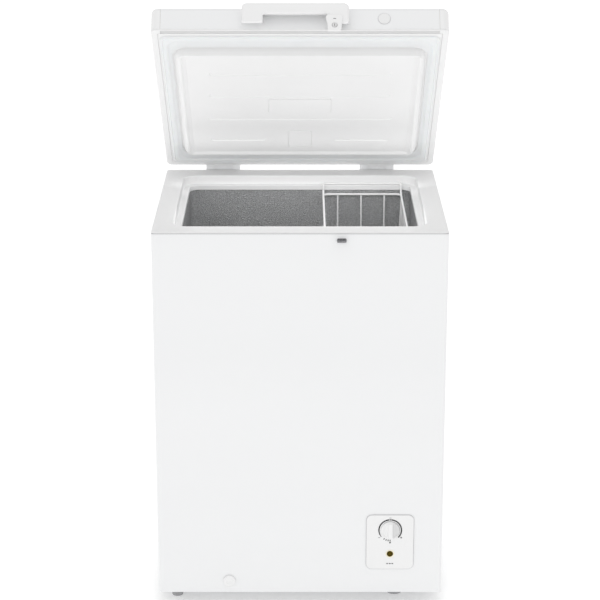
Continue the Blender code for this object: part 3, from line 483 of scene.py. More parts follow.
def collar():
    """Moulded frame round the opening, with soft edges and the basket's ledge."""
    def outer(inset, z):
        return level(rounded_rect(-HALF + inset, HALF - inset, inset, DEPTH - inset,
                                  0.0075 - inset), TOP + z)

    def opening(inset, z):
        return level(rounded_rect(-OPEN_X + inset, OPEN_X - inset, OPEN_Y0 + inset,
                                  OPEN_Y1 - inset, OPEN_R - inset * 0.7), TOP + z)

    skirt, skirt_low, brim_low = SHEET + GAP, -0.012, -0.0022
    ledge = -LEDGE_DROP
    rim = ([(skirt, skirt_low), (skirt, brim_low), (0.0003, brim_low), (0.0, -0.0019)]
           + quarter((0.0, -0.0016), (0.0018, 0.0), 5, 1))
    throat = (quarter((-0.0030, 0.0), (0.0, -0.0030), 6, 0)
              + quarter((0.0006, ledge + 0.0022), (0.0028, ledge), 4, 1)
              + quarter((LEDGE_W - 0.0014, ledge), (LEDGE_W, ledge - 0.0014), 4, 0)
              + quarter((LEDGE_W, -LIP_DROP + 0.0008), (LEDGE_W - 0.0008, -LIP_DROP), 3, 1)
              + [(LEDGE_W - 0.0015, -LIP_DROP), (LEDGE_W - 0.0015, ledge - 0.0018),
                 (-0.0015, ledge - 0.0018), (-0.0015, brim_low)])
    loops = ([outer(i, z) for i, z in rim] + [opening(i, z) for i, z in throat]
             + [outer(skirt + 0.002, brim_low), outer(skirt + 0.002, skirt_low)])
    piece("opening_collar", loft(loops, ring=True), SATIN, "cabinet",
          "top_collar")
    # Grey ring in the gap between casing and collar: painted shade of the seam.
    low, high = CASING_TOP - TOP - 0.0002, -0.0024
    piece("collar_seam_shade", loft([outer(i, z) for i, z in (
        (0.0004, low), (0.0004, high), (0.0010, high), (0.0010, low))], ring=True),
        GREY, "cabinet")


def tank():
    """Embossed aluminium tank with a step over the compressor."""
    def section(grow, z, x1=LINER_X):
        return level(rounded_rect(-LINER_X - grow, x1 + grow, LINER_Y0 - grow, LINER_Y1 + grow,
                                  LINER_R + grow), z)

    t, r = SHEET, 0.006
    low = -0.0005  # growth of the lower part, which is a little narrower
    top = TOP - 0.0208
    loops = [section(low + t, FLOOR - t, STEP_X), section(low + t, STEP_Z - t, STEP_X),
             section(t, STEP_Z - t), section(t, top), section(0, top)]
    for x, z in quarter((LINER_X, STEP_Z + r), (LINER_X - r, STEP_Z), 5, 1):
        loops.append(section(0, z, x))
    for x, z in quarter((STEP_X + r, STEP_Z), (STEP_X, STEP_Z - r), 5, 0):
        loops.append(section(low, z, x))
    for grow, z in quarter((low, FLOOR + r), (low - r, FLOOR), 5, 1):
        loops.append(section(grow, z, STEP_X))
    drain = cylinder(0.0085, 0.0, 0.02, (DRAIN_X, DRAIN_Y, FLOOR - 0.01), UP)
    piece("tank_liner", loft(loops), STUCCO, "cabinet", "inner_liner", cut=(drain,))


def feet():
    """Small feet on the left and large ones on the right, each with a groove."""
    left, right, rear = -0.248, 0.191, DEPTH - 0.040
    small, large = 0.0122, 0.018
    for name, x, y, radius in (
            ("front_left", left, 0.044, small), ("front_right", right, 0.058, large),
            ("rear_left", left, rear, small), ("rear_right", right, rear, large)):
        profile = (quarter((radius * 0.78, 0.0), (radius * 0.94, 0.003), 4)
                   + [(radius * 0.94, 0.0065), (radius * 0.90, 0.0070), (radius * 0.90, 0.0080)]
                   + quarter((radius * 0.97, 0.0084), (radius, 0.0100), 3)
                   + [(radius, FOOT_H - 0.0030), (radius * 0.82, FOOT_H - GAP)])
        piece("foot_pad_" + name, turned(profile, (x, y, 0), UP), GREY,
              "cabinet", "foot_" + name, smooth=40)


def strike():
    """Small dark catch with three lobes and an eye for the bolt."""
    def lobes(grow):
        return rounded_polygon([
            (STRIKE_X - 0.0088 - grow, STRIKE_Z - 0.0014, 0.0016),
            (STRIKE_X - 0.0030, STRIKE_Z - 0.0022 - grow, 0.0010),
            (STRIKE_X - 0.0024, STRIKE_Z - 0.0044 - grow, 0.0018),
            (STRIKE_X + 0.0024, STRIKE_Z - 0.0044 - grow, 0.0018),
            (STRIKE_X + 0.0030, STRIKE_Z - 0.0022 - grow, 0.0010),
            (STRIKE_X + 0.0088 + grow, STRIKE_Z - 0.0014, 0.0016),
            (STRIKE_X + 0.0088 + grow, STRIKE_Z + 0.0040 + grow, 0.0022),
            (STRIKE_X - 0.0088 - grow, STRIKE_Z + 0.0040 + grow, 0.0022)], steps=6)

    plate = loft([[(x, y, z) for x, z in lobes(grow)]
                  for grow, y in ((0, -GAP), (0, -0.0010), (-0.0004, -0.0014))])

    def ring(x, y0, y1, radius, z):
        return level(rounded_rect(STRIKE_X - x, STRIKE_X + x, y0, y1, radius, steps=8),
                     STRIKE_Z + z)

    eye = loft([ring(0.0090, -0.0121, -0.0006, 0.0040, -0.0015),
                ring(0.0090, -0.0125, -0.0006, 0.0040, -0.0010),
                ring(0.0090, -0.0125, -0.0006, 0.0040, 0.0010),
                ring(0.0086, -0.0121, -0.0006, 0.0036, 0.0015),
                ring(0.0034, -0.0108, -0.0018, 0.0032, 0.0015),
                ring(0.0034, -0.0108, -0.0018, 0.0032, -0.0015)], ring=True)
    piece("lock_catch", plate, CATCH, "cabinet", "lock_strike", join=(eye,))


def drain_plugs():
    """Cover at the front and bung in the tank's floor, on stems of one size."""
    stem = 0.0073
    cap = ([(stem * 0.9, -0.016), (stem, -0.015), (stem, GAP), (0.0121, GAP), (0.0123, 0.0006)]
           + quarter((0.0123, 0.0022), (0.0105, 0.0040), 6, 1)
           + quarter((0.0070, 0.0040), (0.0058, 0.0034), 4, 0) + [(0.0030, 0.0034)])
    piece("drain_cover", turned(cap, (DRAIN_X, 0, DRAIN_Z), FRONT), GLOSS,
          "front_plug", "front_drain_plug")
    bung = ([(stem * 0.9, -0.012), (stem, -0.011), (stem, GAP), (0.0146, GAP)]
            + quarter((0.0150, 0.0008), (0.0128, 0.0032), 4, 1)
            + [(0.0062, 0.0040), (0.0052, 0.0052), (0.0050, 0.0136)]
            + quarter((0.0050, 0.0140), (0.0034, 0.0155), 4, 1))
    piece("drain_bung", turned(bung, (DRAIN_X, DRAIN_Y, FLOOR), UP), SATIN,
          "inner_plug", "inner_drain_plug")


def screw_head(x, y, z, radius=0.0038, height=0.0022):
    """Domed head with a small round recess, facing backwards."""
    profile = ([(radius, 0.0), (radius, height * 0.3)]
               + quarter((radius, height * 0.4), (radius * 0.42, height), 5, 1)
               + [(radius * 0.36, height * 0.5), (radius * 0.10, height * 0.35)])
    return turned(profile, (x, y, z), BACK, sides=24)


def rear_fixings():
    """Screws of the rear panel, the grille and the hinges."""
    back = DEPTH + 0.0001
    low_z, high_z, side = FOOT_H + 0.012, CASING_TOP - 0.016, HALF - 0.012
    spots = [(x, z) for z in (low_z, 0.30, 0.53, high_z) for x in (-side, side)]
    spots += [(x, z) for z in (low_z, high_z) for x in (-0.070, 0.075)]
    piece("rear_panel_screws", merged([screw_head(x, back, z) for x, z in spots]),
          ZINC, "cabinet")
    low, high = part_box("rear_vent_grille")
    corners = [(x, z) for x in (low.x + 0.006, high.x - 0.006)
               for z in (low.z + 0.006, high.z - 0.006)]
    piece("grille_screws",
          merged([screw_head(x, high.y - SHIFT + 0.0001, z, 0.0030, 0.0018)
                  for x, z in corners]), ZINC, "cabinet")
    head, reach = (0.0040, 0.0024), 0.024
    for side in ("left", "right"):
        low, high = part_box("hinge_cabinet_leaf_" + side)
        middle = (low.x + high.x) / 2
        piece("hinge_screws_" + side,
              merged([screw_head(middle + dx, DEPTH + 0.0029, TOP - dz, *head)
                      for dz in (0.018, 0.036) for dx in (-reach, reach)]),
              STEEL, "cabinet")
        piece("hinge_lid_screws_" + side,
              merged([screw_head(middle + dx, LID_Y1 + 0.0024, HINGE.z + 0.028, *head)
                      for dx in (-reach, 0.0, reach)]),
              STEEL, "lid")


# ------------------------------------------------------------- control panel
def band(r0, r1, start, end, steps):
    """Outline of a curved stripe round the dial, angles in degrees."""
    return (arc(DIAL_X, DIAL_Z, r1, start, end, steps)
            + arc(DIAL_X, DIAL_Z, r0, end, start, steps))


def printed(outline):
    """Printed mark: a film on the face of the control panel."""
    return extrude_y(outline, PANEL_FACE - 0.00012, PANEL_FACE + 0.00005)


def control_panel():
    """Plate with a ring of painted shade round it, the scale round the dial, printed marks and a
    painted shadow arc by the knob.
    """
    x0, x1, z0, z1 = 0.1310, 0.2265, FOOT_H + 0.0505, FOOT_H + 0.1680

    def plate(inset, y):
        return [(x, y, z) for x, z in
                rounded_rect(x0 + inset, x1 - inset, z0 + inset, z1 - inset, 0.012 - inset)]

    edge = 0.0010
    shape = loft([plate(edge, -GAP), plate(edge, -0.0016), plate(edge + 0.0002, -0.0020),
                  plate(edge + 0.0007, PANEL_FACE)])
    spindle_hole = cylinder(0.0045, -0.01, 0.01, (DIAL_X, 0, DIAL_Z), BACK)
    lamp_hole = cylinder(LAMP_R + GAP, -0.01, 0.01, (DIAL_X, 0, LAMP_Z), BACK)
    piece("control_plate", shape, GLOSS, "cabinet", "control_bezel",
          cut=(spindle_hole, lamp_hole))
    # The grey ring round the plate is painted shade, standing in for the shadow line in the joint
    # round the plate.
    shade_ring = loft([plate(0.0, -GAP), plate(0.0, -0.0010), plate(edge - 0.0001, -0.0012),
                 plate(edge - 0.0001, -GAP)], ring=True)
    piece("control_plate_shade_ring", shade_ring, TRIM_AND_SHADE, "cabinet")

    marks = [band(0.0210, 0.0237, -44.5, 85, 40), band(0.0210, 0.0237, 87, 93, 3),
             band(0.0210, 0.0237, 95, 185, 28), band(0.0213, 0.0235, 185, 206, 8),
             band(0.0218, 0.0231, 206, 219, 5)]
    for a in (237.5, 249, 260, 270):
        marks.append(band(0.0207, 0.0240, a - 2.3, a + 2.3, 2))
    marks.append(band(0.0250, 0.0282, 267, 273, 2))
    piece("dial_scale", merged([printed(m) for m in marks]), INK, "cabinet")

    def bar(x, z, half_w, half_h):
        return rounded_rect(x - half_w, x + half_w, z - half_h, z + half_h, half_h * 0.6, steps=2)

    low_z, side = DIAL_Z - 0.0160, 0.0218
    dash = (0.0022, 0.0005)
    signs_and_dial_shadow = [bar(DIAL_X - side, low_z, *dash), bar(DIAL_X + side, low_z, *dash),
             bar(DIAL_X + side, low_z, 0.0005, 0.0019), bar(DIAL_X, DIAL_Z + 0.0262, *dash)]
    # Thin grey arc round the knob's upper right: painted shadow of the knob on the plate.
    signs_and_dial_shadow.append(band(0.0187, 0.0191, -45, 130, 50))
    signs_and_dial_shadow += [bar(DIAL_X + dx, LAMP_Z - 0.0212, 0.0018, 0.0012) for dx in (-0.0052, 0.0, 0.0052)]
    piece("panel_signs_and_dial_shadow", merged([printed(s) for s in signs_and_dial_shadow]), INK_LIGHT_AND_SHADE,
          "cabinet")


def knob():
    """Flat dial with a grip ridge across two scooped hollows. Its right part is a darker copy of
    the white and a grey strip runs along the ridge's left foot: both painted shade.
    """
    crown, floor, rim = 0.0086, 0.0040, 0.0055  # heights
    ridge, scoop = 0.0034, 0.0086  # half widths

    def height(x, z):
        w, r = abs(x), math.hypot(x, z)
        if w < ridge:
            top = crown - 0.0002 * (w / ridge) ** 2
        elif w < scoop:
            t = (w - ridge) / (scoop - ridge)
            top = floor + (crown - 0.0002 - floor) * (1 - t) ** 1.7 * (1 + 0.7 * t)
        else:
            top = floor + 0.0011 * ((w - scoop) / 0.0080) ** 1.5
        if x < 0:
            top -= 0.0011 * math.exp(-((w - 0.0052) / 0.0010) ** 2)
        blend = min(1.0, max(0.0, (r - 0.0150) / 0.0022))
        blend = blend * blend * (3 - 2 * blend)
        return top + (rim - top) * blend

    sides, rings = 120, 26

    def circle(r):
        return [(r * math.cos(2 * math.pi * k / sides), r * math.sin(2 * math.pi * k / sides))
                for k in range(sides)]

    loops = [[(DIAL_X + x, -y, DIAL_Z + z) for x, z in circle(r)]
             for r, y in ((0.0030, -0.0120), (0.0030, 0.0027), (0.0181, 0.0027),
                          (0.0185, 0.0031), (0.0185, 0.0043), (0.0183, 0.0049),
                          (0.0179, 0.0053))]
    loops += [[(DIAL_X + x, -height(x, z), DIAL_Z + z)
               for x, z in circle(0.0174 * (1 - i / rings))] for i in range(rings)]

    def right_part():
        return box(DIAL_X + 0.0050, DIAL_X + 0.02, -0.02, -0.0030, DIAL_Z - 0.02, DIAL_Z + 0.02)

    piece("dial_knob", loft(loops), GLOSS, "dial", "thermostat_knob", smooth=45,
          cut=(right_part(),))
    # The right part in a darker white: painted shade.
    piece("dial_shaded_side", loft(loops), KNOB_SHADED, "dial", smooth=45,
          keep=(right_part(),))
    # Grey strip along the ridge's left foot: painted shade of the hollow beside the ridge.
    ridge_shade_strip = rounded_rect(DIAL_X - 0.0061, DIAL_X - 0.0049, DIAL_Z - 0.0135, DIAL_Z + 0.0135,
                          0.0006, steps=3)
    piece("dial_crease_shade", extrude_y(ridge_shade_strip, -0.0052, -0.0036), TRIM_AND_SHADE, "dial")


def lamp():
    """Amber lens with a pale ring round it."""
    dome = [(LAMP_R * 0.9, -0.0040), (LAMP_R, -0.0038), (LAMP_R, 0.0026)]
    dome += [(LAMP_R * math.cos(a), 0.0026 + 0.0020 * math.sin(a))
             for a in (math.radians(d) for d in (15, 30, 45, 60, 75, 85))]
    piece("lamp_lens", turned(dome, (DIAL_X, 0, LAMP_Z), FRONT), AMBER,
          "cabinet", "indicator_lens", smooth=50)
    ring = [(LAMP_R + GAP, 0.0023), (0.0084, 0.0023), (0.0083, 0.0025), (LAMP_R + 0.0005, 0.0027),
            (LAMP_R + GAP, 0.0026)]
    piece("lamp_rim", turned(ring, (DIAL_X, 0, LAMP_Z), FRONT, ring=True), HALO,
          "cabinet")


# ----------------------------------------------------------------------- lid
def lid_outline(inwards, z):
    """Outline of the lid, moved inwards."""
    return level(rounded_rect(-HALF + inwards, HALF - inwards, LID_Y0 + inwards,
                              LID_Y1 - inwards, max(LID_R - inwards, 0.003)), z)


def plug(x, y0, y1, z, radius):
    """Rounded rectangle of the lid's inner side, x being half its width."""
    return level(rounded_rect(-x, x, y0, y1, radius), z)


def lid_shell():
    t, low, r = 0.0012, LID_Z0 + 0.0032, 0.010
    profile = ([(r, LID_Z1 - t), (0.0048, LID_Z1 - 0.0028), (0.0022, LID_Z1 - 0.0062),
                (t, LID_Z1 - 0.0110), (t, low), (0.0004, low), (0.0, low + 0.0004)]
               + quarter((0.0, LID_Z1 - r), (r, LID_Z1), 9, 1))
    return loft([lid_outline(i, z) for i, z in profile])


def corner_block(sign, clearance):
    """Space taken by a front corner's cap, -1 for the left and 1 for the right."""
    x0, x1 = sorted((sign * (CAP_X - clearance), sign * (HALF + 0.01)))
    return box(x0, x1, LID_Y0 - 0.01, LID_Y0 + 0.030 + clearance, LID_Z0 - 0.01, LID_Z1 + 0.01)


def lid_casing():
    """Skin, two corner caps, and the rim with a grey inlay in its front channel; the inlay's grey
    is partly its own and partly painted shade of the channel.
    """
    piece("lid_skin", lid_shell(), PAINT_LID, "lid", "lid_outer_panel",
          cut=(corner_block(-1, GAP), corner_block(1, GAP)))
    for side, sign in (("left", -1), ("right", 1)):
        piece("lid_corner_" + side, lid_shell(), GLOSS, "lid",
              "lid_corner_cap_" + side, keep=(corner_block(sign, 0.0),))

    top = LID_Z0 + 0.0029
    profile = ([(RIM_W, top), (0.0002, top), (0.0, top - 0.0002)]
               + quarter((0.0, LID_Z0 + 0.0018), (0.0018, LID_Z0), 5, 1)
               + quarter((RIM_W - 0.0012, LID_Z0), (RIM_W, LID_Z0 + 0.0012), 3, 0))
    channel = box(-CAP_X, CAP_X, LID_Y0 + 0.0014, LID_Y0 + RIM_W - 0.0008, LID_Z0 - 0.01,
                  LID_Z0 + 0.0018)
    piece("lid_rim", loft([lid_outline(i, z) for i, z in profile], ring=True), SATIN,
          "lid", "lid_frame", cut=(channel,))
    # Grey inlay in the front channel: partly a grey part, partly painted shade of the recess.
    inlay = box(-CAP_X + GAP, CAP_X - GAP, LID_Y0 + 0.0016, LID_Y0 + RIM_W - 0.0010,
                LID_Z0 + 0.0006, LID_Z0 + 0.0017)
    piece("lid_rim_inlay_and_shade", inlay, FRAME_GREY_AND_SHADE, "lid", bevel=0.0002)


def pressed(bm, x0, x1, y0, y1, radius, steps):
    """Pressed detail in the inner panel. Returns the edges of its outer outline."""
    rows = add_loops(bm, [level(rounded_rect(x0 + i, x1 - i, y0 + i, y1 - i, radius - i, steps=6),
                                PANEL_Z + rise) for i, rise in steps])
    bm.faces.new(rows[-1])
    return ring_edges(bm, rows[0])


def ring_edges(bm, row):
    edges = []
    for a, b in zip(row, row[1:] + row[:1]):
        edges.append(bm.edges.get((a, b)) or bm.edges.new((a, b)))
    return edges


def inner_panel():
    """Vacuum-formed inside of the lid: flange, plug wall, ridge and sunken middle."""
    t = 0.0016
    edge = RIM_W + GAP
    base0, base1 = OPEN_Y0 + 0.0040, OPEN_Y1          # plug at its base
    flat0, flat1 = OPEN_Y0 + 0.0060, OPEN_Y1 - 0.012  # plug at its ridge

    def wall(f, z):
        """Section of the plug's wall, f from 0 at its base to 1 at the ridge."""
        return plug(0.2420 - 0.0095 * f, base0 + (flat0 - base0) * f,
                    base1 + (flat1 - base1) * f, z, 0.025 - 0.015 * f)

    bm = bmesh.new()
    loops = [plug(0.2160, flat0 + 0.0100, flat1 - 0.0100, PANEL_Z + t, 0.006),
             plug(0.2250, flat0 + 0.0025, flat1 - 0.0025, RIDGE_Z + t, 0.010),
             plug(0.2262, flat0 + 0.001, flat1 - 0.001, RIDGE_Z + t, 0.011),
             plug(0.2402, base0 + t, base1 - t, LID_Z0 + t, 0.024),
             lid_outline(edge, LID_Z0 + t), lid_outline(edge, LID_Z0 + 0.0003),
             lid_outline(edge + 0.0004, LID_Z0)]
    drop = LID_Z0 - RIDGE_Z
    loops += [plug(0.2456, base0 - 0.0036, base1 + 0.0036, LID_Z0, 0.0275),
              plug(0.2452, base0 - 0.0032, base1 + 0.0032, LID_Z0 + 0.0010, 0.0272),
              plug(0.2446, base0 - 0.0026, base1 + 0.0026, LID_Z0 + 0.0013, 0.0270)]
    for f, part in ((-0.12, -0.080), (-0.05, 0.0), (0.05, 0.12), (0.12, 0.24), (0.21, 0.40),
                    (0.32, 0.54), (0.50, 0.70), (0.70, 0.84), (0.84, 0.93), (0.93, 0.98),
                    (1.0, 1.0)):
        loops.append(wall(f, LID_Z0 - drop * part))
    for run, rise in (quarter((0.0, 0.0), (0.0020, 0.0008), 3, 0)
                      + quarter((0.0062, 0.0034), (0.0076, PANEL_Z - RIDGE_Z), 3, 1)):
        loops.append(plug(0.2310 - run * 1.2, flat0 + 0.0030 + run, flat1 - 0.0030 - run,
                          RIDGE_Z + rise, 0.0085 - run * 0.45))
    rows = add_loops(bm, loops)
    bm.faces.new(rows[0])
    border = ring_edges(bm, rows[-1])
    groove = ((0.0, 0.0), (0.0003, 0.0001), (0.0018, 0.0011), (0.0024, 0.0012))
    for x0, x1, y0, y1 in ((-0.178, 0.178, 0.1229, 0.1354), (-0.180, 0.180, 0.2041, 0.2186),
                           (-0.186, 0.186, 0.2966, 0.3086), (-0.184, -0.071, 0.3834, 0.3954),
                           (0.071, 0.184, 0.3834, 0.3954)):
        border += pressed(bm, x0, x1, y0, y1, 0.0058, groove)
    pad = ((0.0, 0.0), (0.0002, 0.0007), (0.0010, 0.0007), (0.0013, -0.0008), (0.0020, -0.0011))
    border += pressed(bm, -0.0633, 0.0633, 0.2240, 0.2790, 0.0050, pad)
    square = ((0.0, 0.0), (0.0003, 0.0008), (0.0010, 0.0008), (0.0014, -0.0004), (0.0022, -0.0007))
    border += pressed(bm, -0.0243, 0.0243, 0.3524, 0.4206, 0.0050, square)
    bmesh.ops.triangle_fill(bm, use_beauty=True, use_dissolve=False, edges=border)
    bmesh.ops.remove_doubles(bm, verts=bm.verts, dist=WELD)
    piece("lid_inner_panel", bm, SATIN, "lid", "lid_inner_liner", smooth=40)


def gasket():
    """Magnetic seal: a lip on each side of a flat band, and a thin web inside."""
    z0, z1 = TOP + GAP, LID_Z0 - GAP

    def section(run_x, run_y, z):
        return plug(0.2672 - run_x, 0.0080 + run_y, DEPTH - 0.0080 - run_y, z,
                    0.014 + run_x * 0.75)

    profile = [(0.0, z1), (0.0008, z0 + 0.0017), (0.0018, z0 + 0.0006), (0.0030, z0),
               (0.0040, z0 + 0.0001), (0.0047, z0 + 0.0007), (0.0055, z0 + 0.0007),
               (0.0062, z0 + 0.0001), (0.0072, z0), (0.0120, z0), (0.0136, z0 + 0.0006),
               (0.0160, z0 + 0.0020), (0.0180, z0 + 0.0025)]
    loops = [section(run, run, z) for run, z in profile]
    loops += [section(0.0207, 0.0370, z0 + 0.0026), section(0.0207, 0.0370, z1)]
    piece("magnetic_seal", loft(loops, ring=True), SEAL, "lid", "lid_gasket")


def handle():
    """Carry handle with a hollow underside and a bore for the bolt."""
    top, under = TOP + 0.0487, TOP + 0.0257
    foot0, foot1 = TOP + 0.0056, TOP + 0.0040
    leg0, leg1 = HANDLE_X0 + LEG_W, HANDLE_X1 - LEG_W
    outline = rounded_polygon([
        (HANDLE_X0, top, 0.009), (HANDLE_X0, foot0, 0.005), (leg0, foot0, 0.010),
        (leg0, under, 0.004), (leg1, under, 0.004), (leg1, foot1, 0.003),
        (HANDLE_X1, foot1, 0.010), (HANDLE_X1, top, 0.010)], steps=10)
    tilt = math.radians(66)
    way = Vector((0.0, math.cos(tilt), -math.sin(tilt)))
    bolt_tail = Vector((STRIKE_X, -0.0063, STRIKE_Z)) - way * (0.024 + 0.034)
    bore = cylinder(0.0025, -0.001, 0.054, bolt_tail, way, sides=24)

    def hollow(x0, x1, z, angle, reach, depth):
        """Space below the handle: a slope from its front edge and a slot at the lid."""
        front, back = HANDLE_Y + 0.0042, LID_Y0 + 0.001
        inner = LID_Y0 - reach
        rise = (inner - HANDLE_Y) * math.tan(math.radians(angle))
        section = [(front, z - 0.006), (front, z), (inner - 0.0015, z + rise - 0.0002),
                   (inner - 0.0003, z + rise + 0.0008), (inner, z + rise + 0.0024),
                   (inner, z + depth), (back, z + depth), (back, z - 0.006)]
        return loft([[(x, y, h) for y, h in section] for x in (x0, x1)])

    edge = [(i, HANDLE_Y + y) for i, y in quarter((0.0, 0.0042), (0.0042, 0.0), 7, 1)]
    loops = [[(x, y, z) for x, z in inset(outline, i)]
             for i, y in [(0.0, LID_Y0 - GAP)] + edge]
    piece("handle_bar", loft(loops), GLOSS, "lid", "lid_handle", smooth=40,
          cut=(bore, hollow(HANDLE_X0 - 0.01, leg0 + 0.0005, foot0, 26, 0.009, 0.016),
               hollow(leg0 - 0.0005, leg1 + 0.0005, under, 12, 0.013, 0.0175),
               hollow(leg1 - 0.0005, HANDLE_X1 + 0.01, foot1, 26, 0.009, 0.016)))


def lock():
    """Shield with its block and mark, and the key barrel in it."""
    front = HANDLE_Y - 0.0018
    back = HANDLE_Y - GAP
    shield = rounded_polygon([
        (LOCK_X - 0.0164, TOP + 0.0215, 0.0060), (LOCK_X - 0.0164, TOP + 0.0110, 0.0050),
        (LOCK_X - 0.0138, TOP + 0.0040, 0.0060), (LOCK_X - 0.0128, TOP - 0.0134, 0.0050),
        (LOCK_X + 0.0128, TOP - 0.0134, 0.0050), (LOCK_X + 0.0138, TOP + 0.0040, 0.0060),
        (LOCK_X + 0.0155, TOP + 0.0110, 0.0050), (LOCK_X + 0.0155, TOP + 0.0215, 0.0060)])
    plate = loft([[(x, y, z) for x, z in inset(shield, grow)]
                  for grow, y in ((0.0, back), (0.0, front + 0.0009), (0.0002, front + 0.0004),
                                  (0.0009, front))])
    block = box(LOCK_X - 0.0126, LOCK_X + 0.0126, back - 0.0002, -0.0240, TOP - 0.0058,
                TOP + 0.0036)
    bore = cylinder(0.0053, 0.030, 0.06, (LOCK_X, 0, LOCK_Z), FRONT)
    mark = box(LOCK_X - 0.0026, LOCK_X + 0.0026, front - 0.001, front + 0.0008, TOP + 0.0114,
               TOP + 0.0130)
    piece("lock_shield", plate, GLOSS, "lid", "lock_housing", smooth=40,
          join=(block,), cut=(bore, mark))
    inlay = box(LOCK_X - 0.0025, LOCK_X + 0.0025, front + 0.0002, front + 0.0007, TOP + 0.0115,
                TOP + 0.0129)
    piece("lock_mark", inlay, INK_LIGHT_AND_SHADE, "lid")

    profile = ([(0.0046, 0.0304), (0.0048, 0.0310), (0.0048, -front - 0.0003)]
               + quarter((0.0048, -front), (0.0040, -front + 0.0007), 3, 1))
    slot = box(LOCK_X - 0.0006, LOCK_X + 0.0006, front - 0.01, front + 0.004,
               LOCK_Z - 0.0028, LOCK_Z + 0.0028)
    piece("key_cylinder", turned(profile, (LOCK_X, 0, LOCK_Z), FRONT), STEEL,
          "key_barrel", "lock_barrel", cut=(slot,))


def inset(outline, distance):
    """Outline moved inwards, for one that turns anticlockwise or clockwise."""
    count = len(outline)
    area = sum(outline[i - 1][0] * outline[i][1] - outline[i][0] * outline[i - 1][1]
               for i in range(count))
    side = 1 if area > 0 else -1
    moved = []
    for i, (x, y) in enumerate(outline):
        (ax, ay), (bx, by) = outline[i - 1], outline[(i + 1) % count]
        length = math.hypot(bx - ax, by - ay)
        moved.append((x - side * (by - ay) / length * distance,
                      y + side * (bx - ax) / length * distance))
    return moved


def fascia_cap():
    """Round screw cap on the lid's front with a thin seam round it."""
    profile = ([(0.0113, GAP), (0.0115, GAP + 0.0001)]
               + quarter((0.0115, 0.0007), (0.0108, 0.0014), 4, 1)
               + [(0.0101, 0.0014), (0.0098, 0.0011), (0.0040, 0.0010)])
    piece("fascia_button", turned(profile, FASCIA_CAP, FRONT, sides=64),
          SATIN, "lid", "fascia_screw_cap")
    seam = [(0.0116, GAP * 0.4), (0.0124, GAP * 0.4), (0.0124, GAP * 0.9), (0.0116, GAP * 0.9)]
    piece("fascia_seam", turned(seam, FASCIA_CAP, FRONT, sides=64, ring=True), TRIM_AND_SHADE,
          "lid")


# -------------------------------------------------------------------- basket
def basket():
    """Welded wire basket that hangs from the ledge by a loop at each end."""
    x0, x1, y0, y1 = 0.049, 0.212, 0.0665, 0.4435
    rim_z, tall, taper = TOP - 0.036, 0.190, 0.008
    thick, thin = 0.0023, 0.0018
    middle = (y0 + y1) / 2
    floor = rim_z - tall

    def hoop(inset_by, z, radius):
        outline = rounded_rect(x0 + inset_by, x1 - inset_by, y0 + inset_by, y1 - inset_by, 0.012,
                               steps=6)
        return swept([Vector(p) for p in level(outline, z)], radius, closed=True)

    wires = [hoop(0.0, rim_z, thick), hoop(taper / 2 + 0.0022, rim_z - tall / 2, thin)]
    cross_wires, pitch = 7, 0.054
    for i in range(cross_wires):
        y = middle + (i - cross_wires // 2) * pitch
        wires.append(swept(filleted([(x0, y, rim_z), (x0 + taper, y, floor),
                                     (x1 - taper, y, floor), (x1, y, rim_z)], 0.012), thin))
    for x in (0.0793, 0.1285, 0.1770):
        z = floor + thin * 1.6
        wires.append(swept(filleted([(x, y0, rim_z), (x, y0 + taper, z), (x, y1 - taper, z),
                                     (x, y1, rim_z)], 0.012), thin))
    hook_z = TOP - LEDGE_DROP + thick + GAP
    for sign, y in ((-1, y0), (1, y1)):
        rise = [(x0, y - sign * 0.014, rim_z), (x0, y + sign * 0.0015, rim_z + 0.006),
                (x0, y + sign * 0.0022, hook_z), (x0, y + sign * 0.0115, hook_z)]
        fall = [(x1, py, pz) for _, py, pz in reversed(rise)]
        wires.append(swept(filleted(rise + fall, 0.0035), thick))
    piece("wire_basket", merged(wires), WIRE, "basket", "storage_basket",
          smooth=60)


for build in (casing, collar, tank, feet, strike, drain_plugs, rear_fixings, control_panel, knob,
              lamp, lid_casing, inner_panel, gasket, handle, lock, fascia_cap, basket):
    build()


# --------------------------------------------------------------------- stage
floor_look = material("stage_floor", (0.90, 0.90, 0.90), 0.9, mottle=(0.004, 0.7),
                      relief=(("grain", 60.0, 0.0001),), Emission_Color=(1.0, 1.0, 1.0, 1.0),
                      Emission_Strength=0.32)
ground = bmesh.new()
bmesh.ops.create_grid(ground, x_segments=8, y_segments=8, size=40.0)
stage = mesh_object("stage", ground)
stage.data.materials.append(floor_look)
stage.location.z = -0.0002

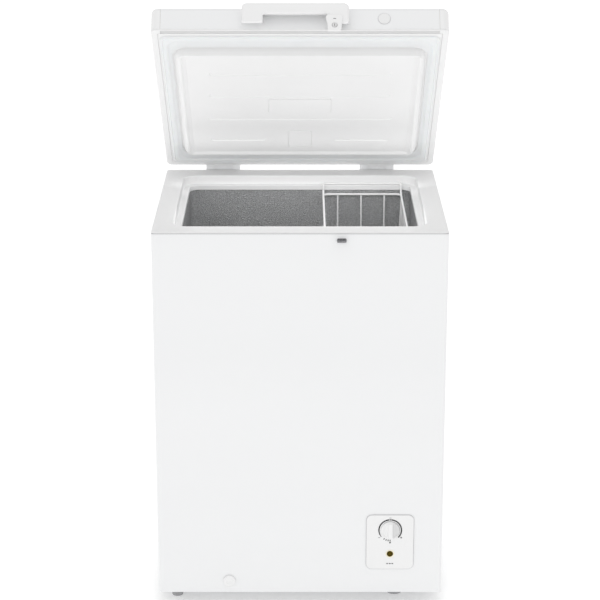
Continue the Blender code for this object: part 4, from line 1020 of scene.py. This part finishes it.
world = bpy.data.worlds.new("studio")
world.use_nodes = True
sky = world.node_tree.nodes["Background"]
sky.inputs["Color"].default_value = (1.0, 1.0, 1.0, 1.0)
sky.inputs["Strength"].default_value = 0.83
bpy.context.scene.world = world


def sun(name, azimuth, elevation, strength, angle):
    """Soft light from far away. Azimuth 0 comes from the front and 90 from the right."""
    light = bpy.data.lights.new(name, "SUN")
    light.energy = strength
    light.angle = math.radians(angle)
    a, e = math.radians(azimuth), math.radians(elevation)
    source = Vector((math.sin(a) * math.cos(e), -math.cos(a) * math.cos(e), math.sin(e)))
    new_object(name, light).rotation_euler = source.to_track_quat("Z", "Y").to_euler()


def soft_box(name, place, towards, width, height, energy):
    """Glowing panel that the camera doesn't see."""
    light = bpy.data.lights.new(name, "AREA")
    light.shape = "RECTANGLE"
    light.size, light.size_y = width, height
    light.energy = energy
    obj = new_object(name, light)
    obj.location = place
    obj.rotation_euler = Vector(towards).to_track_quat("-Z", "Y").to_euler()
    obj.visible_camera = False


sun("top_light", 0, 80, 0.16, 30)
sun("front_light", -30, 10, 0.16, 40)
# The panels stand over the opening, inside the space of the closed lid.
middle_y = SHIFT + DEPTH / 2
soft_box("lid_light", (0.0, middle_y - 0.035, TOP + 0.003), (0, -0.12, 1), 0.52, 0.29, 0.41)
soft_box("tank_light", (0.0, middle_y - 0.02, TOP + 0.040), (0, 0, -1), 0.44, 0.30, 0.17)
soft_box("hinge_side_light", (0.0, middle_y + 0.10, TOP + 0.030), (0, 1, -0.1), 0.50, 0.034,
         0.095)

CAMERA_DISTANCE, CAMERA_HEIGHT, CAMERA_PITCH = 3.7489, 1.7755, 18.557
camera_data = bpy.data.cameras.new("camera")
camera_data.lens = 122.97
camera_data.sensor_width = 36.0
camera_data.shift_y = 0.099
camera_data.clip_end = 200.0
camera = new_object("camera", camera_data)
camera.location = (0.0, SHIFT - CAMERA_DISTANCE, CAMERA_HEIGHT)
camera.rotation_euler = (math.radians(90 - CAMERA_PITCH), 0.0, 0.0)
bpy.context.scene.camera = camera
bpy.context.scene.view_settings.view_transform = "Standard"
